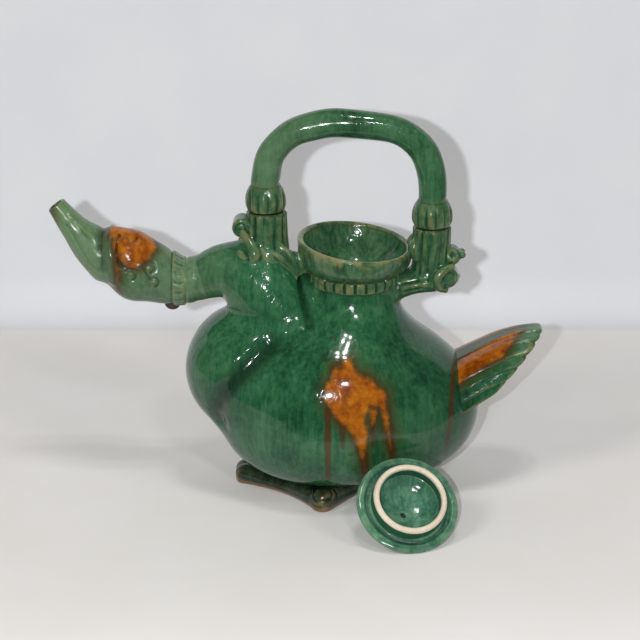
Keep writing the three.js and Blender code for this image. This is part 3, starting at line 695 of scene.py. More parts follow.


# Dark glaze along the cut beside the eye and at the beak's tip, with painted shade in the groove behind the
# face's ridge and under the head near the neck.
def head_pools_and_shade(x, y, z):
    behind_ridge = [(-129.4, 165), (-130.2, 160), (-131.2, 154), (-131.6, 149), (-130.6, 142), (-130.8, 138)]
    dark = stroke(x, z, behind_ridge, 2.3, 1.0)
    face = stroke(x, z, [(-121, 156), (-122.2, 151), (-122.2, 146), (-120.6, 140.6), (-116, 139)], 1.3, 0.8)
    below = 0.5 * rise(z, 120, 112) * rise(x, -118, -110) + 0.4 * rise(x, -155, -161)
    return np.where(z > 150, 0.7, 0.4) * dark + face + below


def head_amber(x, y, z):
    return np.maximum(-9 + 9 * rise(x, -151, -161), blot(x, z, [
        ((-123.5, 158, 4.0), (-104, 157, 6.0)), ((-120.5, 151, 4.5), (-106, 150, 7.0)),
        ((-117, 145, 4.0), (-109, 146, 7.0)), ((-113.5, 141.5, 4.6), (-112, 140.2, 3.2)),
        ((-121.6, 146, 2.0), (-121.4, 134, 1.7)), ((-121.4, 134, 1.7), (-122.4, 124, 1.3)),
    ], 1.5))


def head_wear(x, y, z):
    return 0.9 * rise(x, -148, -158) + stroke(x, z, [(-136, 155), (-148, 166.5)], 1.8, 0.7)


carve("head", head_far, (-164, -20, 106), (-71, 20, 178), FINE, ("duck_head",), "green_glaze",
      {"amber": head_amber, "pool": head_pools_and_shade, "thin": head_wear,
       "pale": lambda x, y, z: 0.65 + 0.2 * rise(x, -125, -140)})

# %% [markdown]
# Where the head meets the neck there is a collar of square beads, and under it a stub of clay:
# the broken end of the prop that held the head up while it dried.

# %% Collar and throat stub
def collar_far(x, y, z):
    def bead(along, turn):
        return 0.6 + 0.5 * rise(np.cos(16 * turn), -0.95, 0.25) * rise(x, -91, -89.4) * rise(x, -83.5, -85.1)
    return np.maximum(np.maximum(head(x, y, z, relief=bead), -head(x, y, z) - 0.6), np.abs(x + 87.25) - 3.75)


def stub_far(x, y, z):
    far = egg(np.hypot(x + 91.7, y * 1.05), z - 112.9, 4.9, 4.6)
    return np.maximum(far, -head(x, y, z) - 1.0)


carve("collar", collar_far, (-93, -19, 108), (-81, 19, 146), 0.5, ("neck_collar",),
      paint={"pale": lambda x, y, z: 0.6 + 0 * x})
carve("throat_stub", stub_far, (-98, -7, 106), (-85, 7, 119), 0.6, slot="dark_glaze")

# %% [markdown]
# The mouth was thrown on a wheel, so its section is one outline turned round the upright line.
# It was set on askew, and dips towards the tail and a little towards the left flank.

# %% Mouth cup
def outline_far(u, v, corners):
    """Signed distance from a closed outline of (u, v) corners, negative inside."""
    closed = np.vstack([corners, corners[:1]])
    inside = False
    for (au, av), (bu, bv) in zip(closed[:-1], closed[1:]):
        if bv != av:
            inside = inside ^ (((v < av) != (v < bv)) & (u < au + (v - av) * (bu - au) / (bv - av)))
    return np.where(inside, -1.0, 1.0) * np.sqrt(near_line((u, v), closed))


RIM_RADIUS = 33.3
CUP_FOOT = 133.0
CUP_HEIGHT = 17.0
RIM_DIP = math.radians(6.0)
SIDE_DIP = math.radians(3.6)
swell = smooth_row([(0, 0.05), (0.04, 0.32), (0.14, 0.64), (0.3, 0.84), (0.6, 0.96), (0.92, 1.0)], 16)
outer = [(THROAT_RADIUS + (RIM_RADIUS - THROAT_RADIUS) * w, CUP_FOOT + CUP_HEIGHT * s) for s, w in swell]
rim = [(RIM_RADIUS - 0.5, 149.5), (RIM_RADIUS - 1.4, 150), (RIM_RADIUS - 2.4, 149.9)]
inner = smooth_row([(0, 129.3), (0.6, 132.5), (3.2, 136), (6.6, 140), (8.8, 144.5), (10.2, 149.2)], 16)
inner += [THROAT_RADIUS - WALL, 0]
cup_outline = np.vstack([[(THROAT_RADIUS, 129.3)], outer, rim, inner[::-1]])


def dip_at(x, y):
    """How far the tilted rim lies below a level one."""
    return (x - THROAT_X) * math.sin(RIM_DIP) - y * math.sin(SIDE_DIP)


def cup_far(x, y, z):
    dip = dip_at(x, y)
    share = np.clip((z - CUP_FOOT) / CUP_HEIGHT, 0, 1)
    level = z + dip * np.clip((z + dip * share - CUP_FOOT) / CUP_HEIGHT, 0, 1)
    return outline_far(np.hypot(x - THROAT_X, y) + 0 * level, level, cup_outline)


def rim_wear(x, y, z):
    level = z + dip_at(x, y)
    radius = np.hypot(x - THROAT_X, y)
    outside = rise(radius, 30.4, 31.9) * (0.3 + 0.4 * rise(level, 143, 149))
    lip = 0.7 * bump(radius, 31.2, 1.2) * bump(level, 149.6, 0.9)
    return outside + lip + 0.25 * rise(radius, 31, 30) * rise(level, 138, 147)


def rim_stain(x, y, z):
    """A brown line just inside the lip, and two small iron spots below it."""
    level = z + dip_at(x, y)
    line = 0.1 - np.abs(level - 148.4) * 1.1 - 3 * (np.hypot(x - THROAT_X, y) > 31.4)
    large_spot = 0.7 - np.hypot((x - 4) * 1.4, (level - 145) * 0.45)
    small_spot = 0.4 - np.hypot((x + 12) * 1.4, (level - 146) * 0.5)
    return np.maximum(line, np.where(y < 0, np.maximum(large_spot, small_spot), -20))


carve("mouth_cup", cup_far, (-21, -35, 128), (49, 35, 157), 0.9, paint={"thin": rim_wear, "drip": rim_stain})

# %% [markdown]
# The remaining pieces are regular, so they are made directly as rows of points.
# Rows that run round a piece are joined into a skin of quads, and the two ends are closed with strips across.

# %% Skin from rows of points
def rows_mesh(rows, ends="cap"):
    """rows is (rows, columns, 3). ends is cap, slab (strips from back to underside) or loop."""
    count, columns = rows.shape[:2]
    points = rows.reshape(-1, 3)
    here = np.arange(count if ends == "loop" else count - 1)[:, None] * columns
    there = (here + columns) % (count * columns)
    i = np.arange(columns)[None, :]
    j = (i + 1) % columns
    quads = [np.stack([here + i, here + j, there + j, there + i], axis=-1).reshape(-1, 4)]
    if ends != "loop":
        k = np.arange(columns // 2 - 1)
        strip = np.stack([k + 1, k, columns - 1 - k, columns - 2 - k], axis=-1)
        quads += [strip, strip[:, ::-1] + (count - 1) * columns]
    quads = np.vstack(quads)
    corners = points[quads]
    turn = np.cross(corners[:, 2] - corners[:, 0], corners[:, 3] - corners[:, 1])
    if np.sum(corners.mean(axis=1) * turn) < 0:
        quads, turn = quads[:, ::-1], -turn
    normals = np.zeros_like(points)
    for corner in range(4):
        np.add.at(normals, quads[:, corner], turn)
    normals /= np.maximum(np.linalg.norm(normals, axis=1), 1e-9)[:, None]
    return points, quads, normals


def level_rows(x, radii, heights):
    """Level rings about an upright line at x. radii is (rows, columns)."""
    turn = np.linspace(0, 2 * np.pi, radii.shape[1], endpoint=False)
    return np.stack([x + radii * np.cos(turn), radii * np.sin(turn), heights[:, None] + 0 * radii], axis=-1)


# %% [markdown]
# A strip of small upright bars hides the joint between throat and mouth. Each bar is rounded by the glaze.

# %% Bead band
BARS = 26
around = np.linspace(0, 2 * np.pi, BARS * 14, endpoint=False)
tall = np.linspace(-1, 1, 17)
bar = rise(np.cos(BARS * around), -0.99, -0.49)
dome = np.sqrt(np.clip(1 - np.abs(tall) ** 4, 0, 1))[:, None]
band_radii = np.vstack([24.9 + 0.2 * dome + 1.5 * dome * bar, np.full((2, len(around)), 23.4)])
band_thin = np.vstack([0.7 * dome * (0.3 + 0.7 * crest_of(around, BARS)) * bar, np.zeros((2, len(around)))])
band_rows = level_rows(THROAT_X, band_radii, 129 + 3.7 * np.append(tall, [1, -1]))
piece("bead_band", *rows_mesh(band_rows, "loop"), paint={"thin": band_thin.ravel()})

# %% [markdown]
# The handle is a rolled bar bent over a form. Under the fingers it came out slightly uneven.

# %% Handle
BULB_X = -37.0
FRONT_BULB, REAR_BULB, BULB_TALL = 168.8, 159.6, 15.1
arch = []
for step in range(1, 16):
    turn = math.pi * (1 - step / 16)
    square = 2 / (2.3 if turn > math.pi / 2 else 2.95)
    side = math.copysign(abs(math.cos(turn)) ** square, math.cos(turn))
    share = (1 + side) / 2
    sag = 0.8 * math.sin(turn) * (side * (2.8 if side > 0 else 1.6) - 0.9)
    level = FRONT_BULB + (REAR_BULB - FRONT_BULB) * share + BULB_TALL + sag
    arch.append((BULB_X + (REAR_X - BULB_X) * share, level + 41 * math.sin(turn) ** square))
feet_of_arch = 14.8, 18.4
arch = ([(BULB_X, FRONT_BULB + up) for up in feet_of_arch] + arch
        + [(REAR_X, REAR_BULB + up) for up in reversed(feet_of_arch)])
line = smooth_row(arch, 150)
ahead = np.gradient(line, axis=0)
ahead /= np.linalg.norm(ahead, axis=1)[:, None]
turn = np.linspace(0, 2 * np.pi, 48, endpoint=False)
place = np.linspace(0, 1, len(line))[:, None]
wobble = 0.22 * np.sin(17 * place + 2 * turn) + 0.16 * np.sin(41 * place + turn + 1)
thick = 8.1 + wobble + 0.12 * np.cos(29 * place - 3 * turn)
handle_rows = np.stack([
    line[:, :1] - ahead[:, 1:] * thick * np.cos(turn),
    thick * np.sin(turn),
    line[:, 1:] + ahead[:, :1] * thick * np.cos(turn),
], axis=-1)
piece("handle", *rows_mesh(handle_rows), ("handle_arch",), "green_glaze",
      paint={"pale": lambda x, y, z: 0.12 + 0.33 * rise(x, 10, -30)})

# %% [markdown]
# A ribbed bulb masks each end of the handle, like the knob of a melon. Its ribs fade out at the top.

# %% Bulbs
BULB_RIBS = 12


def bulb(name, x, low):
    profile = smooth_row([(0, 9.6, 0.1), (0.06, 10.7, 0.9), (0.3, 11.7, 1.5), (0.5, 11.6, 1.4),
                          (0.72, 10.8, 0.8), (0.88, 9.7, 0.2), (1, 8.5, 0)], 34)
    up, radius, relief = profile.T[:, :, None]
    turn = np.linspace(0, 2 * np.pi, BULB_RIBS * 18, endpoint=False) + 0.12
    radii = radius + 0.1 - ribs_of(turn, BULB_RIBS, 0.75 * relief)
    shine = (relief / 1.6) ** 1.5 * crest_of(turn, BULB_RIBS) * (0.7 + 0.3 * np.sin(2 * turn + 2.6))
    seam = 0.9 * (1 - rise(up, 0, 0.07)) + 0.45 * rise(up, 0.9, 1) + 0 * turn
    rows = level_rows(x, radii, low + BULB_TALL * up[:, 0])
    piece(name, *rows_mesh(rows), paint={"thin": shine.ravel(), "pool": seam.ravel()})


bulb("front_bulb", BULB_X, FRONT_BULB)
bulb("rear_bulb", REAR_X, REAR_BULB)

# %% [markdown]
# The tail is a cowl of feathers, highest in the middle and hollow below. Each feather laps over the one
# beneath, so its lower edge stands proud, and each ends in a round tip.

# %% Tail
feather_edges = np.array([0.0, 0.157, 0.328, 0.533, 0.674, 0.833, 1.0])
across = np.linspace(-1, 1, 241)
along = np.linspace(0, 1, 64)[:, None]
number = np.clip(np.searchsorted(feather_edges, np.abs(across), side="right") - 1, 0, 5)
feather_wide = np.diff(feather_edges)[number]
within = (np.abs(across) - feather_edges[number]) / feather_wide
lap = 1.35 * within ** 1.4 * (1 - rise(within, 0.8, 1)) - 0.35
tip = 1 - 0.025 * np.abs(2 * within - 1) ** 3 * (number > 0)


def tail_rows(depth, relief):
    """Rows of points from root to tip, depth below the outer surface and relief above it."""
    t = along * tip
    ridge = np.stack([62 + 63.8 * t, 75 + 23.2 * t + 4.5 * np.sin(np.pi * t ** 1.6)], axis=-1)
    edge = np.stack([60 + 36 * t, 46 + 19.5 * t], axis=-1)
    turn = np.abs(across) * np.pi / 2
    drop = (edge - ridge) / np.linalg.norm(edge - ridge, axis=-1, keepdims=True)
    place = ridge + (edge - ridge) * (1 - np.cos(turn))[None, :, None]
    inset = depth - relief
    place = place + drop * (inset * np.cos(turn))[..., None]
    half = 37 - 10 * t
    return np.stack([place[..., 0], np.sign(across) * (half - inset) * np.sin(turn), place[..., 1]], axis=-1)


rounding = np.sqrt(np.clip(1 - np.clip((along - 0.93) / 0.07, 0, 1) ** 2, 0, 1))
middle = 3.2 * (1.4 - 0.7 * along)
upper = tail_rows(0.4 + middle * (1 - rounding), lap * (0.4 + 0.6 * along) * rounding)
lower = tail_rows(0.4 + middle * (1 + rounding) + 0 * across, 0 * across)
tail_skin = np.concatenate([upper, lower[:, ::-1]], axis=1)
wide = np.abs(np.concatenate([across, across[::-1]]))
t_all = along * np.concatenate([tip, tip[::-1]])
reach = np.minimum((wide - 0.155 + 0.13 * t_all) * 40, (0.60 - 0.16 * t_all - wide) * 40)
tail_amber = np.minimum(reach, (0.80 - 0.2 * wide - t_all) * 50)
worn = rise(within, 0.45, 0.75) * (0.35 + 0.55 * along ** 2) * (number > 1)
worn = np.maximum(worn, 1.25 * rise(along, 0.88, 0.95) * (number > 1))
worn = worn + 0.6 * (number == 5) * rise(within, 0.7, 1)
tail_thin = np.concatenate([worn, worn * 0 + 0.3 * (along > 0.9)], axis=1)
notch = 1.6 - 26 * np.abs(np.abs(within - 0.5) - 0.5) * feather_wide - 60 * np.abs(along - 0.965)
tail_dark = np.concatenate([np.where(number > 1, notch, -20), -20 + 0 * worn], axis=1)
# Towards its root, next to the body, the tail is painted darker as shade.
piece("tail", *rows_mesh(tail_skin, "slab"), ("tail_fan",), "green_glaze",
      paint={"amber": tail_amber.ravel(), "thin": tail_thin.ravel(), "drip": tail_dark.ravel(),
             "pale": fade("x", 95, 120, 0.35), "pool": fade("x", 100, 75, 0.35)})

# %% [markdown]
# Two webbed feet share one slab, which the pot stands on. A rolled edge runs from toe to toe.

# %% Feet
def arc(at, radius, start, end, count):
    """Points along part of a circle."""
    turns = np.linspace(start, end, count)
    return [(at[0] + radius * math.cos(a), at[1] + radius * math.sin(a)) for a in turns]


SIDE_TOE, FRONT_TOE, TOE_RADIUS = (-4.4, 42.5), (-50.5, 2.5), 5.5
SLAB_TOP, SLAB_ROUNDING = 9.6, 3.4
t = np.linspace(0, 1, 12)[:, None]
web = (1 - t) ** 2 * (-8.8, 45.8) + 2 * t * (1 - t) * (-22.5, 17.5) + t * t * (-50.5, 8)
feet_outline = np.vstack([
    [(32, -30), (32, 0.5)], arc(SIDE_TOE, TOE_RADIUS, 0.6, math.pi - 0.6, 8), web,
    arc(FRONT_TOE, TOE_RADIUS, math.pi / 2, 1.2 * math.pi, 6), [(-56, -30)],
])
ROLL = ([(-50.2, 3.2, 5.2), (-38, 12, 4.8), (-24, 22.5, 4.8), (-12, 34.5, 5), (-5.4, 41, 5.4)],
        [5.2, 4.4, 4.2, 4.6, 5.6])
HEEL = [(-4.4, 42, 5.2), (6, 31, 4.4), (26, 6, 4.2)], [5.4, 4.4, 4.2]


def feet_far(x, y, z):
    out = np.abs(y)
    side = outline_far(x + 0 * y, out + 0 * x, feet_outline) + SLAB_ROUNDING
    top = z - SLAB_TOP + SLAB_ROUNDING
    corner = np.hypot(np.maximum(side, 0), np.maximum(top, 0))
    slab = corner + np.minimum(np.maximum(side, top), 0) - SLAB_ROUNDING
    far = melt(slab, melt(rope_far(x, y, z, *ROLL), rope_far(x, y, z, *HEEL), 3), 3)
    knuckle = np.hypot(x + 4.4, out - 43)
    lines = bump(knuckle, 5.2, 0.6) + bump(knuckle, 8.4, 0.6)
    lines = lines * rise(z, 5, 8) * rise(x, -12, -8) * rise(x, 8, 4)
    return cut_soft(far + 0.7 * lines, -z, 1.0)


def toe_wear(x, y, z):
    out = np.abs(y)
    tips = np.exp(-((x + 54) ** 2 + (out - 4) ** 2) / 30) + np.exp(-((x + 4.4) ** 2 + (out - 46) ** 2) / 24)
    return 0.95 * tips * rise(z, 9.5, 5.5) + 0.35 * rise(z, 4.5, 1.5)


carve("feet", lambda x, y, z: np.maximum(feet_far(x, y, z), -(body_far(x, y, z) + 1.0)),
      (-60, -52, -1.2), (36, 52, 13), 0.8, ("webbed_feet",), "feet_glaze", {"thin": toe_wear})

# %% [markdown]
# The lid lies off the pot, upside down, leaning on its knob. It is made upright and then turned over.
# Its flange's foot was wiped clean of glaze, so that it wouldn't stick in the kiln.

# %% Lid
LID_LEAN = 0.7249
LID_TURN = math.radians(15.4)
LID_AT = np.array([43.47, -80.98, 21.13])
lid_turn = np.array(Matrix.Rotation(LID_TURN, 3, "Z") @ Matrix.Rotation(LID_LEAN - math.pi, 3, "X"))


def turned_piece(name, outline, low, high, step, slot, paint=None, hole=None):
    """A turned piece of the lid from an outline of (radius, height), set in its place."""
    outline = np.vstack(outline)

    def far(x, y, z):
        solid = outline_far(np.hypot(x, y) + 0 * z, z + 0 * (x + y), outline)
        return solid if hole is None else np.maximum(solid, -hole(x, y))
    points, quads, normals = skin(far, low, high, step)
    marks = {label: value(*points.T) for label, value in (paint or {}).items()}
    piece(name, points @ lid_turn.T + LID_AT, quads, normals @ lid_turn.T, slot=slot, body="lid", paint=marks)


plate = [
    smooth_row([(0, 9.9), (5, 9.8), (9, 9.3), (14, 7.9), (18, 6.1), (21.5, 4.6), (25, 3.6),
                (27.4, 3.35)], 24),
    [(28.4, 3.1), (29.0, 2.5), (29.28, 1.7), (29.0, 0.9), (28.4, 0.35), (27.4, 0.05)],
    [(25.4, 0.05), (24.2, 1.1), (22.8, 1.1), (21.8, 0.05)],
    smooth_row([(17.7, 0.1), (16.4, 1.3), (14, 3.0), (9.6, 4.5), (5, 5.5), (0, 5.9)], 20),
    [(-3, 5.9), (-3, 9.9)],
]
flange = [(21.5, -0.3), (21.4, -2), (21.1, -5), (21.0, -7.2), (20.5, -8.1), (19.8, -8.45), (18.9, -8.5),
          (18.2, -8.3), (17.75, -7.7), (17.6, -6), (17.5, -0.3)]
ball = arc((0, 17.5), 7.5, -1.13, math.pi / 2, 18)
knob_and_neck = [[(-3, 10.2), (4.2, 10.2), (3.5, 10.7)], ball, [(-3, 25.0)]]


def steam_hole(x, y):
    return np.hypot(x + 2.49, y - 4.31) - 1.5


def wiped(x, y, z):
    """Above zero where the flange is wiped clean, with an uneven border."""
    return -6.6 - z - 0.25 * np.sin(3 * np.arctan2(y, x))


turned_piece("lid_plate", plate, (-31, -31, -1), (31, 31, 11.5), 0.7, "pale_glaze", hole=steam_hole)
turned_piece("lid_flange", flange, (-23, -23, -10), (23, 23, 1), 0.6, "bare_clay", {"wiped": wiped})
turned_piece("lid_knob", knob_and_neck, (-9, -9, 9), (9, 9, 26.5), 0.6, "pale_glaze")

# %% [markdown]
# A finish is a small network of nodes. So that its maths reads as plain expressions, one class stands for
# a socket: adding or multiplying two of them adds the Math node that does it. Any other node comes from
# one method, which takes the node's type, its settings and what goes into its sockets.

# %% Shader maths
class Wire:
    def __init__(self, bench, socket):
        self.bench, self.socket = bench, socket

    def other(self, name):
        """Another output of the same node."""
        return Wire(self.bench, self.socket.node.outputs[name])

    def math(self, operation, *values, clamp=False):
        settings = {"operation": operation, "use_clamp": clamp}
        return self.bench.node("ShaderNodeMath", settings, dict(enumerate(values)))

    def __add__(self, value):
        return self.math("ADD", self, value)

    def __mul__(self, value):
        return self.math("MULTIPLY", self, value)

    def __sub__(self, value):
        return self.math("SUBTRACT", self, value)

    def __rsub__(self, value):
        return self.math("SUBTRACT", value, self)

    __radd__ = __add__
    __rmul__ = __mul__

    def ramp(self, start, end):
        """0 up to start, 1 from end on, and smooth between. start may be the larger."""
        t = self.math("MULTIPLY", self - start, 1 / (end - start), clamp=True)
        return t * t * (3 - 2 * t)

    def held(self, low, high):
        return self.math("MINIMUM", self.math("MAXIMUM", self, low), high)


class Bench:
    """The nodes of one finish, or of the room's light."""

    def __init__(self, finish):
        finish.use_nodes = True
        self.finish, self.tree = finish, finish.node_tree
        self.tree.nodes.clear()

    def node(self, kind, settings, sockets, out=0):
        made = self.tree.nodes.new(kind)
        for key, value in settings.items():
            setattr(made, key, value)
        for key, value in sockets.items():
            by_name = (s for s in made.inputs if s.name == key and s.enabled)
            socket = made.inputs[key] if isinstance(key, int) else next(by_name)
            if isinstance(value, Wire):
                self.tree.links.new(value.socket, socket)
            elif isinstance(value, tuple) and len(socket.default_value) == 4:
                socket.default_value = (*value, 1.0)
            else:
                socket.default_value = value
        outputs = [s for s in made.outputs if s.enabled]
        return Wire(self, outputs[out] if isinstance(out, int) else made.outputs[out]) if outputs else made

    def ramp(self, tone, *colours):
        """Colours for a low, a middle and a high tone, mixed in between."""
        colour = self.node("ShaderNodeValToRGB", {}, {"Fac": tone}, "Color")
        ramp = colour.socket.node.color_ramp
        ramp.elements.new(0.5)
        for element, place, tint in zip(ramp.elements, (0.1, 0.5, 0.9), colours):
            element.position = place
            element.color = (*tint, 1.0)
        return colour

    def mix(self, share, a, b):
        return self.node("ShaderNodeMix", {"data_type": "RGBA"}, {"Factor": share, "A": a, "B": b})

    def noise(self, where, scale, detail=3.0, rough=0.55, warp=0.0):
        sockets = {"Vector": where, "Scale": scale, "Detail": detail, "Roughness": rough, "Distortion": warp}
        return self.node("ShaderNodeTexNoise", {}, sockets)

    def mark(self, name):
        """A number that the mesh carries at each corner."""
        return self.node("ShaderNodeAttribute", {"attribute_name": name}, {}, "Fac")

    def place(self):
        """The place on the object, in metres."""
        return self.node("ShaderNodeTexCoord", {}, {}, "Object")

    def close(self, colour, rough, normal=None, **fixed):
        sockets = {"Base Color": colour, "Roughness": rough, **fixed}
        if normal is not None:
            sockets["Normal"] = normal
        shader = self.node("ShaderNodeBsdfPrincipled", {}, sockets)
        self.node("ShaderNodeOutputMaterial", {}, {"Surface": shader})
        return self.finish


def bench_for(name):
    return Bench(bpy.data.materials.new(name))


def swing(start, *parts):
    """start plus each noise's swing about its middle, times its strength."""
    for noise, strength in parts:
        start = start + (noise - 0.5) * strength
    return start


def darker(colour, share):
    return tuple(share * c for c in colour)


# %% [markdown]
# The green is a lead glaze coloured with copper. It is glass, so it shows its depth: thick glaze in
# the hollows is nearly black, and they are painted darker still as shade; thin glaze over ridges shows the buff
# clay as olive. Under it all lie soft clouds, fine mottling and a net of hair-fine cracks.

# %% Green glaze
AMBERS = (0.15, 0.030, 0.002), (0.29, 0.080, 0.003), (0.40, 0.135, 0.006)
# The last of these, the darkest brown, goes into hollows under the amber: gathered amber glaze, and painted
# shade.
BROWN, RUST, AMBER_POOL_AND_SHADE = (0.050, 0.015, 0.003), (0.085, 0.022, 0.004), (0.03, 0.008, 0.001)
HALO = (0.050, 0.050, 0.008)
PALE_GREEN, CREAM, FOOT_CLAY = (0.130, 0.208, 0.112), (0.34, 0.30, 0.17), (0.20, 0.11, 0.05)


def glaze(name, deep, mid, light, olive, wear=0.5, brown_foot=False):
    bench = bench_for(name)
    where = bench.place()
    clouds = bench.noise(where, 30.0, 3.0, 0.6, 0.6)
    mottle = bench.noise(where, 230.0, 4.0, 0.65)
    grain = bench.noise(where, 800.0, 2.0, 0.6)
    run_at = bench.node("ShaderNodeVectorMath", {"operation": "MULTIPLY"}, {0: where, 1: (1.0, 1.0, 0.14)})
    runs = bench.noise(run_at, 120.0, 3.0, 0.6)
    streaks = bench.noise(run_at, 480.0, 2.0, 0.6)
    patches = bench.noise(where, 150.0, 2.0, 0.5).ramp(0.38, 0.62)
    bend = bench.mark("bend")

    tone = swing(0.5, (clouds, 1.3), (mottle, 0.75), (runs, 0.8), (streaks, 0.75), (grain, 0.3))
    pale = (bench.mark("pale") * (0.55 + tone * 0.9)).held(0.0, 0.9)
    green = bench.mix(pale, bench.ramp(tone, deep, mid, light), PALE_GREEN)

    thin = bench.mark("thin")
    patchy = swing(0.0, (mottle, 2.4), (clouds, 1.6))
    raised = (bend + bench.mark("broad_bend") * 0.6 + patchy * 0.06).ramp(0.07, 0.36)
    raised = raised * (patches * 0.8 + 0.2) * wear
    spread = thin * (patches * 0.75 + 0.4) + patchy * 0.3 * (thin * 3.0).held(0.0, 1.0)
    raised = raised.math("MAXIMUM", raised, spread.ramp(0.12, 1.1) * 0.85)
    # Hollows darken: glaze gathers there, and shade is painted there as well.
    hollow_pool_and_shade = swing(bend * -1.0, (mottle, 0.06)).ramp(0.03, 0.30)
    # This mark is dark gathered glaze at seams and in creases. It is also painted shade in the creases, under
    # the head, towards the rump and at the tail's root.
    pool = (bench.mark("pool") * (0.75 + mottle * 0.5)).held(0.0, 0.92)

    edge = swing(0.0, (clouds, 3.6), (mottle, 3.2), (runs, 2.0))
    splash = bench.mark("amber") + edge
    drip = bench.mark("drip") + edge * 0.35
    amber = bench.ramp(swing(0.5, (runs, 1.3), (mottle, 1.5), (clouds, 1.0)), *AMBERS)
    brown = bench.mix(0.12, BROWN, green)
    net = {"Vector": where, "Scale": 330.0}
    crack = bench.node("ShaderNodeTexVoronoi", {"feature": "DISTANCE_TO_EDGE"}, net, "Distance").ramp(0.035, 0.0)

    layers = [
        (raised, olive), ((thin + patchy * 0.3).ramp(1.15, 1.7) * 0.7, CREAM),
        (pool, darker(deep, 0.3)), (hollow_pool_and_shade * 0.6, darker(deep, 0.4)),
        (splash.ramp(-8.0, -1.0) * 0.45, HALO),
        (drip.ramp(-0.9, 0.7) * 0.88, brown), (drip.ramp(0.6, 1.8) * 0.3, RUST),
        (splash.ramp(-3.4, 0.4) * 0.75, brown), (splash.ramp(-0.3, 3.0), amber),
        (hollow_pool_and_shade * splash.ramp(0.0, 1.0) * 0.85, AMBER_POOL_AND_SHADE),
    ]
    if brown_foot:
        height = bench.node("ShaderNodeSeparateXYZ", {}, {"Vector": where}).other("Z") * 1000.0
        layers.append((swing(height, (mottle, 4.0), (clouds, 3.0)).ramp(3.6, 1.0) * 0.8, FOOT_CLAY))
    layers.append((crack * 0.18, darker(deep, 0.35)))
    colour = green
    for share, tint in layers:
        colour = bench.mix(share, colour, tint)

    waves = bench.noise(where, 60.0, 2.0, 0.5) * 0.24 + mottle * 0.04 + crack * -0.02
    normal = bench.node("ShaderNodeBump", {}, {"Strength": 0.35, "Distance": 0.0012, "Height": waves})
    return bench.close(colour, 0.05 + mottle * 0.06 + raised * 0.10 + crack * 0.1, normal, IOR=1.5)


finishes = {
    "green_glaze": glaze("green glaze", (0.004, 0.036, 0.014), (0.014, 0.084, 0.033),
                         (0.038, 0.130, 0.058), (0.12, 0.16, 0.05)),
    "relief_glaze": glaze("relief glaze", (0.008, 0.040, 0.016), (0.032, 0.098, 0.042),
                          (0.078, 0.152, 0.074), (0.20, 0.20, 0.08)),
    # The feet take a darker copy of the green, painted dark as the shade under the belly.
    "feet_glaze": glaze("feet glaze in shade", (0.003, 0.011, 0.006), (0.008, 0.026, 0.013),
                        (0.024, 0.050, 0.025), (0.19, 0.13, 0.055), brown_foot=True),
    "pale_glaze": glaze("pale glaze", (0.012, 0.060, 0.038), (0.042, 0.135, 0.078),
                        (0.10, 0.23, 0.14), (0.19, 0.29, 0.17), wear=0.35),
}
print("glazes", list(finishes))

# %% [markdown]
# Where there is no glaze the clay shows: a cream ring on the lid, and a dark scorched break under the throat.

# %% Bare clay
def bare(name, light, dark, shaded_glaze=None):
    bench = bench_for(name)
    where = bench.place()
    grain = bench.noise(where, 700.0, 4.0, 0.65)
    clouds = bench.noise(where, 90.0)
    colour = bench.mix(swing(0.5, (grain, 1.6), (clouds, 1.2)), dark, light)
    rough = 0.62 + grain * 0.2
    if shaded_glaze is not None:
        bare_here = swing(bench.mark("wiped"), (clouds, 1.2)).ramp(-0.35, 0.35)
        colour = bench.mix(bare_here, shaded_glaze, colour)
        rough = 0.1 + bare_here * 0.6
    normal = bench.node("ShaderNodeBump", {}, {"Strength": 0.4, "Distance": 0.0003, "Height": grain})
    return bench.close(colour, rough, normal)


# The flange's sides keep a dark green in place of the lid's pale glaze: painted shade in the groove and inside
# the flange.
finishes["bare_clay"] = bare("bare clay", (0.70, 0.62, 0.50), (0.52, 0.44, 0.33), (0.02, 0.08, 0.045))
finishes["dark_glaze"] = bare("scorched clay", (0.07, 0.045, 0.035), (0.02, 0.014, 0.012))
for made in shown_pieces():
    made.data.materials.clear()
    made.data.materials.append(finishes[made["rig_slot"]])
print("finishes", sorted(finishes))

# %% [markdown]
# The pot stands on a pale cloth in front of a light grey wall. One sheet makes both and bends up at the back.
# A second strip of the cloth hangs over the table's front edge, just out of the picture. It isn't mirrored:
# the lower belly shows the dim room there. From behind the wall is see-through, so that the pot shows.

# %% Floor and backdrop
FRONT, MIRRORED, BACK = -0.206, -0.155, 0.258
BACK_BEND, FRONT_BEND = 0.03, 0.006
back_bend = arc((BACK, BACK_BEND), BACK_BEND, -math.pi / 2, 0, 10)
front_bend = arc((FRONT, -FRONT_BEND), FRONT_BEND, math.pi, math.pi / 2, 8)
wall_at = BACK + BACK_BEND


def sheet(name, profile):
    """A wide sheet along x that follows a row of (y, z) points."""
    corners = [(x, y, z) for x in (-0.7, 0.7) for y, z in profile]
    faces = [(i, i + len(profile), i + 1 + len(profile), i + 1) for i in range(len(profile) - 1)]
    mesh = bpy.data.meshes.new(name)
    mesh.from_pydata(corners, [], faces)
    mesh.polygons.foreach_set("use_smooth", [True] * len(faces))
    made = bpy.data.objects.new(name, mesh)
    bpy.context.collection.objects.link(made)
    return made


ground = sheet("ground", [(MIRRORED, 0.0), (0.0, 0.0)] + back_bend + [(wall_at, 0.3), (wall_at, 0.6)])
front = sheet("cloth_front", [(FRONT - FRONT_BEND, -0.5)] + front_bend + [(MIRRORED, 0.0)])
front.visible_glossy = False

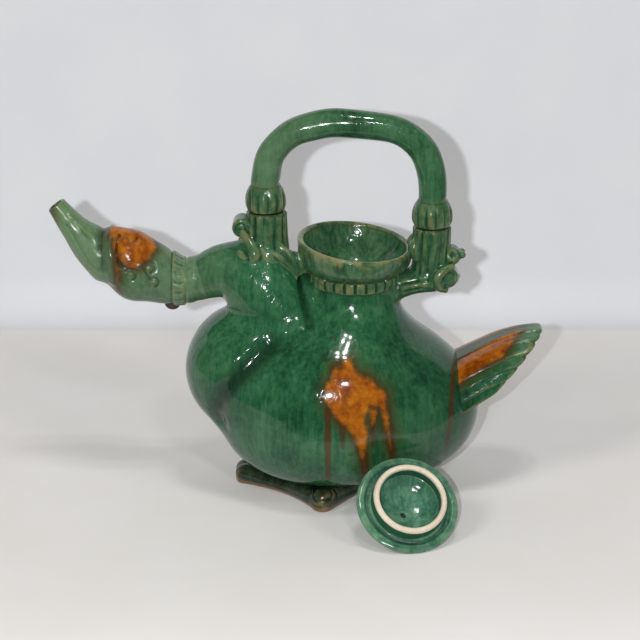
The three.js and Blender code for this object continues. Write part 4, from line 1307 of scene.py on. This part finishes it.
bench = bench_for("cloth and wall")
where = bench.place()
weave = swing(0.5, (bench.noise(where, 14.0, 3.0, 0.5), 1.5))
wall = bench.node("ShaderNodeSeparateXYZ", {}, {"Vector": where}).other("Y").ramp(BACK - 0.004, BACK + 0.004)
floor_colour = bench.mix(weave, (0.72, 0.70, 0.675), (0.77, 0.755, 0.74))
wall_colour = bench.mix(weave, (0.63, 0.645, 0.68), (0.69, 0.70, 0.725))
behind = bench.node("ShaderNodeNewGeometry", {}, {}, "Backfacing")
cloth = bench.close(bench.mix(wall, floor_colour, wall_colour), 0.9, Alpha=1.0 - behind)
ground.data.materials.append(cloth)
front.data.materials.append(cloth)
print("the wall stands", round(1000 * wall_at), "mm behind the middle plane")

# %% [markdown]
# The light is a flash just left of the camera, two soft lamps to the sides, and two clusters of four bulbs.
# The soft lamps light the pot but aren't mirrored in it: wet-looking glaze shows the bulbs as sharp glints.

# %% Lamps
CENTRE = (0.0, 0.0, 0.1)
WHITE, WARM, COLD = (1.0, 1.0, 1.0), (1.0, 0.95, 0.88), (0.94, 0.97, 1.0)


def lamp(name, at, size, power, colour=WHITE, mirrored=True):
    light = bpy.data.lights.new(name, "AREA")
    light.shape = "RECTANGLE"
    light.size, light.size_y = size
    light.energy = power
    light.color = colour
    made = bpy.data.objects.new(name, light)
    made.location = at
    made.rotation_euler = (Vector(CENTRE) - Vector(at)).to_track_quat("-Z", "Y").to_euler()
    made.visible_glossy = mirrored
    bpy.context.collection.objects.link(made)


lamp("flash", (-0.070, -1.14, 0.52), (0.016, 0.012), 8.6, COLD)
lamp("left soft lamp", (-0.95, -0.95, 1.1), (0.4, 0.4), 7.6, WARM, mirrored=False)
lamp("right soft lamp", (1.05, -0.85, 1.0), (0.4, 0.4), 4.6, WARM, mirrored=False)
for column_at in (-1, 1):
    for row_at in (-1, 1):
        lamp("near bulb", (0.21 + 0.032 * column_at, -0.99, 0.83 + 0.032 * row_at), (0.02, 0.02), 0.45)
        lamp("ceiling bulb", (0.13 + 0.06 * column_at, -0.36 + 0.06 * row_at, 1.34), (0.04, 0.04), 0.7)


# %% [markdown]
# The room around gives a faint warm light. The camera alone sees it as pale grey, beside the wall.

# %% Room
room = Bench(bpy.data.worlds.new("room"))
glow = room.node("ShaderNodeBackground", {}, {"Color": (1.0, 0.97, 0.93), "Strength": 0.12})
seen = room.node("ShaderNodeBackground", {}, {"Color": (0.62, 0.63, 0.65)})
by_camera = room.node("ShaderNodeLightPath", {}, {}, "Is Camera Ray")
either = room.node("ShaderNodeMixShader", {}, {0: by_camera, 1: glow, 2: seen})
room.node("ShaderNodeOutputWorld", {}, {"Surface": either})
bpy.context.scene.world = room.finish
bpy.context.scene.view_settings.view_transform = "Standard"
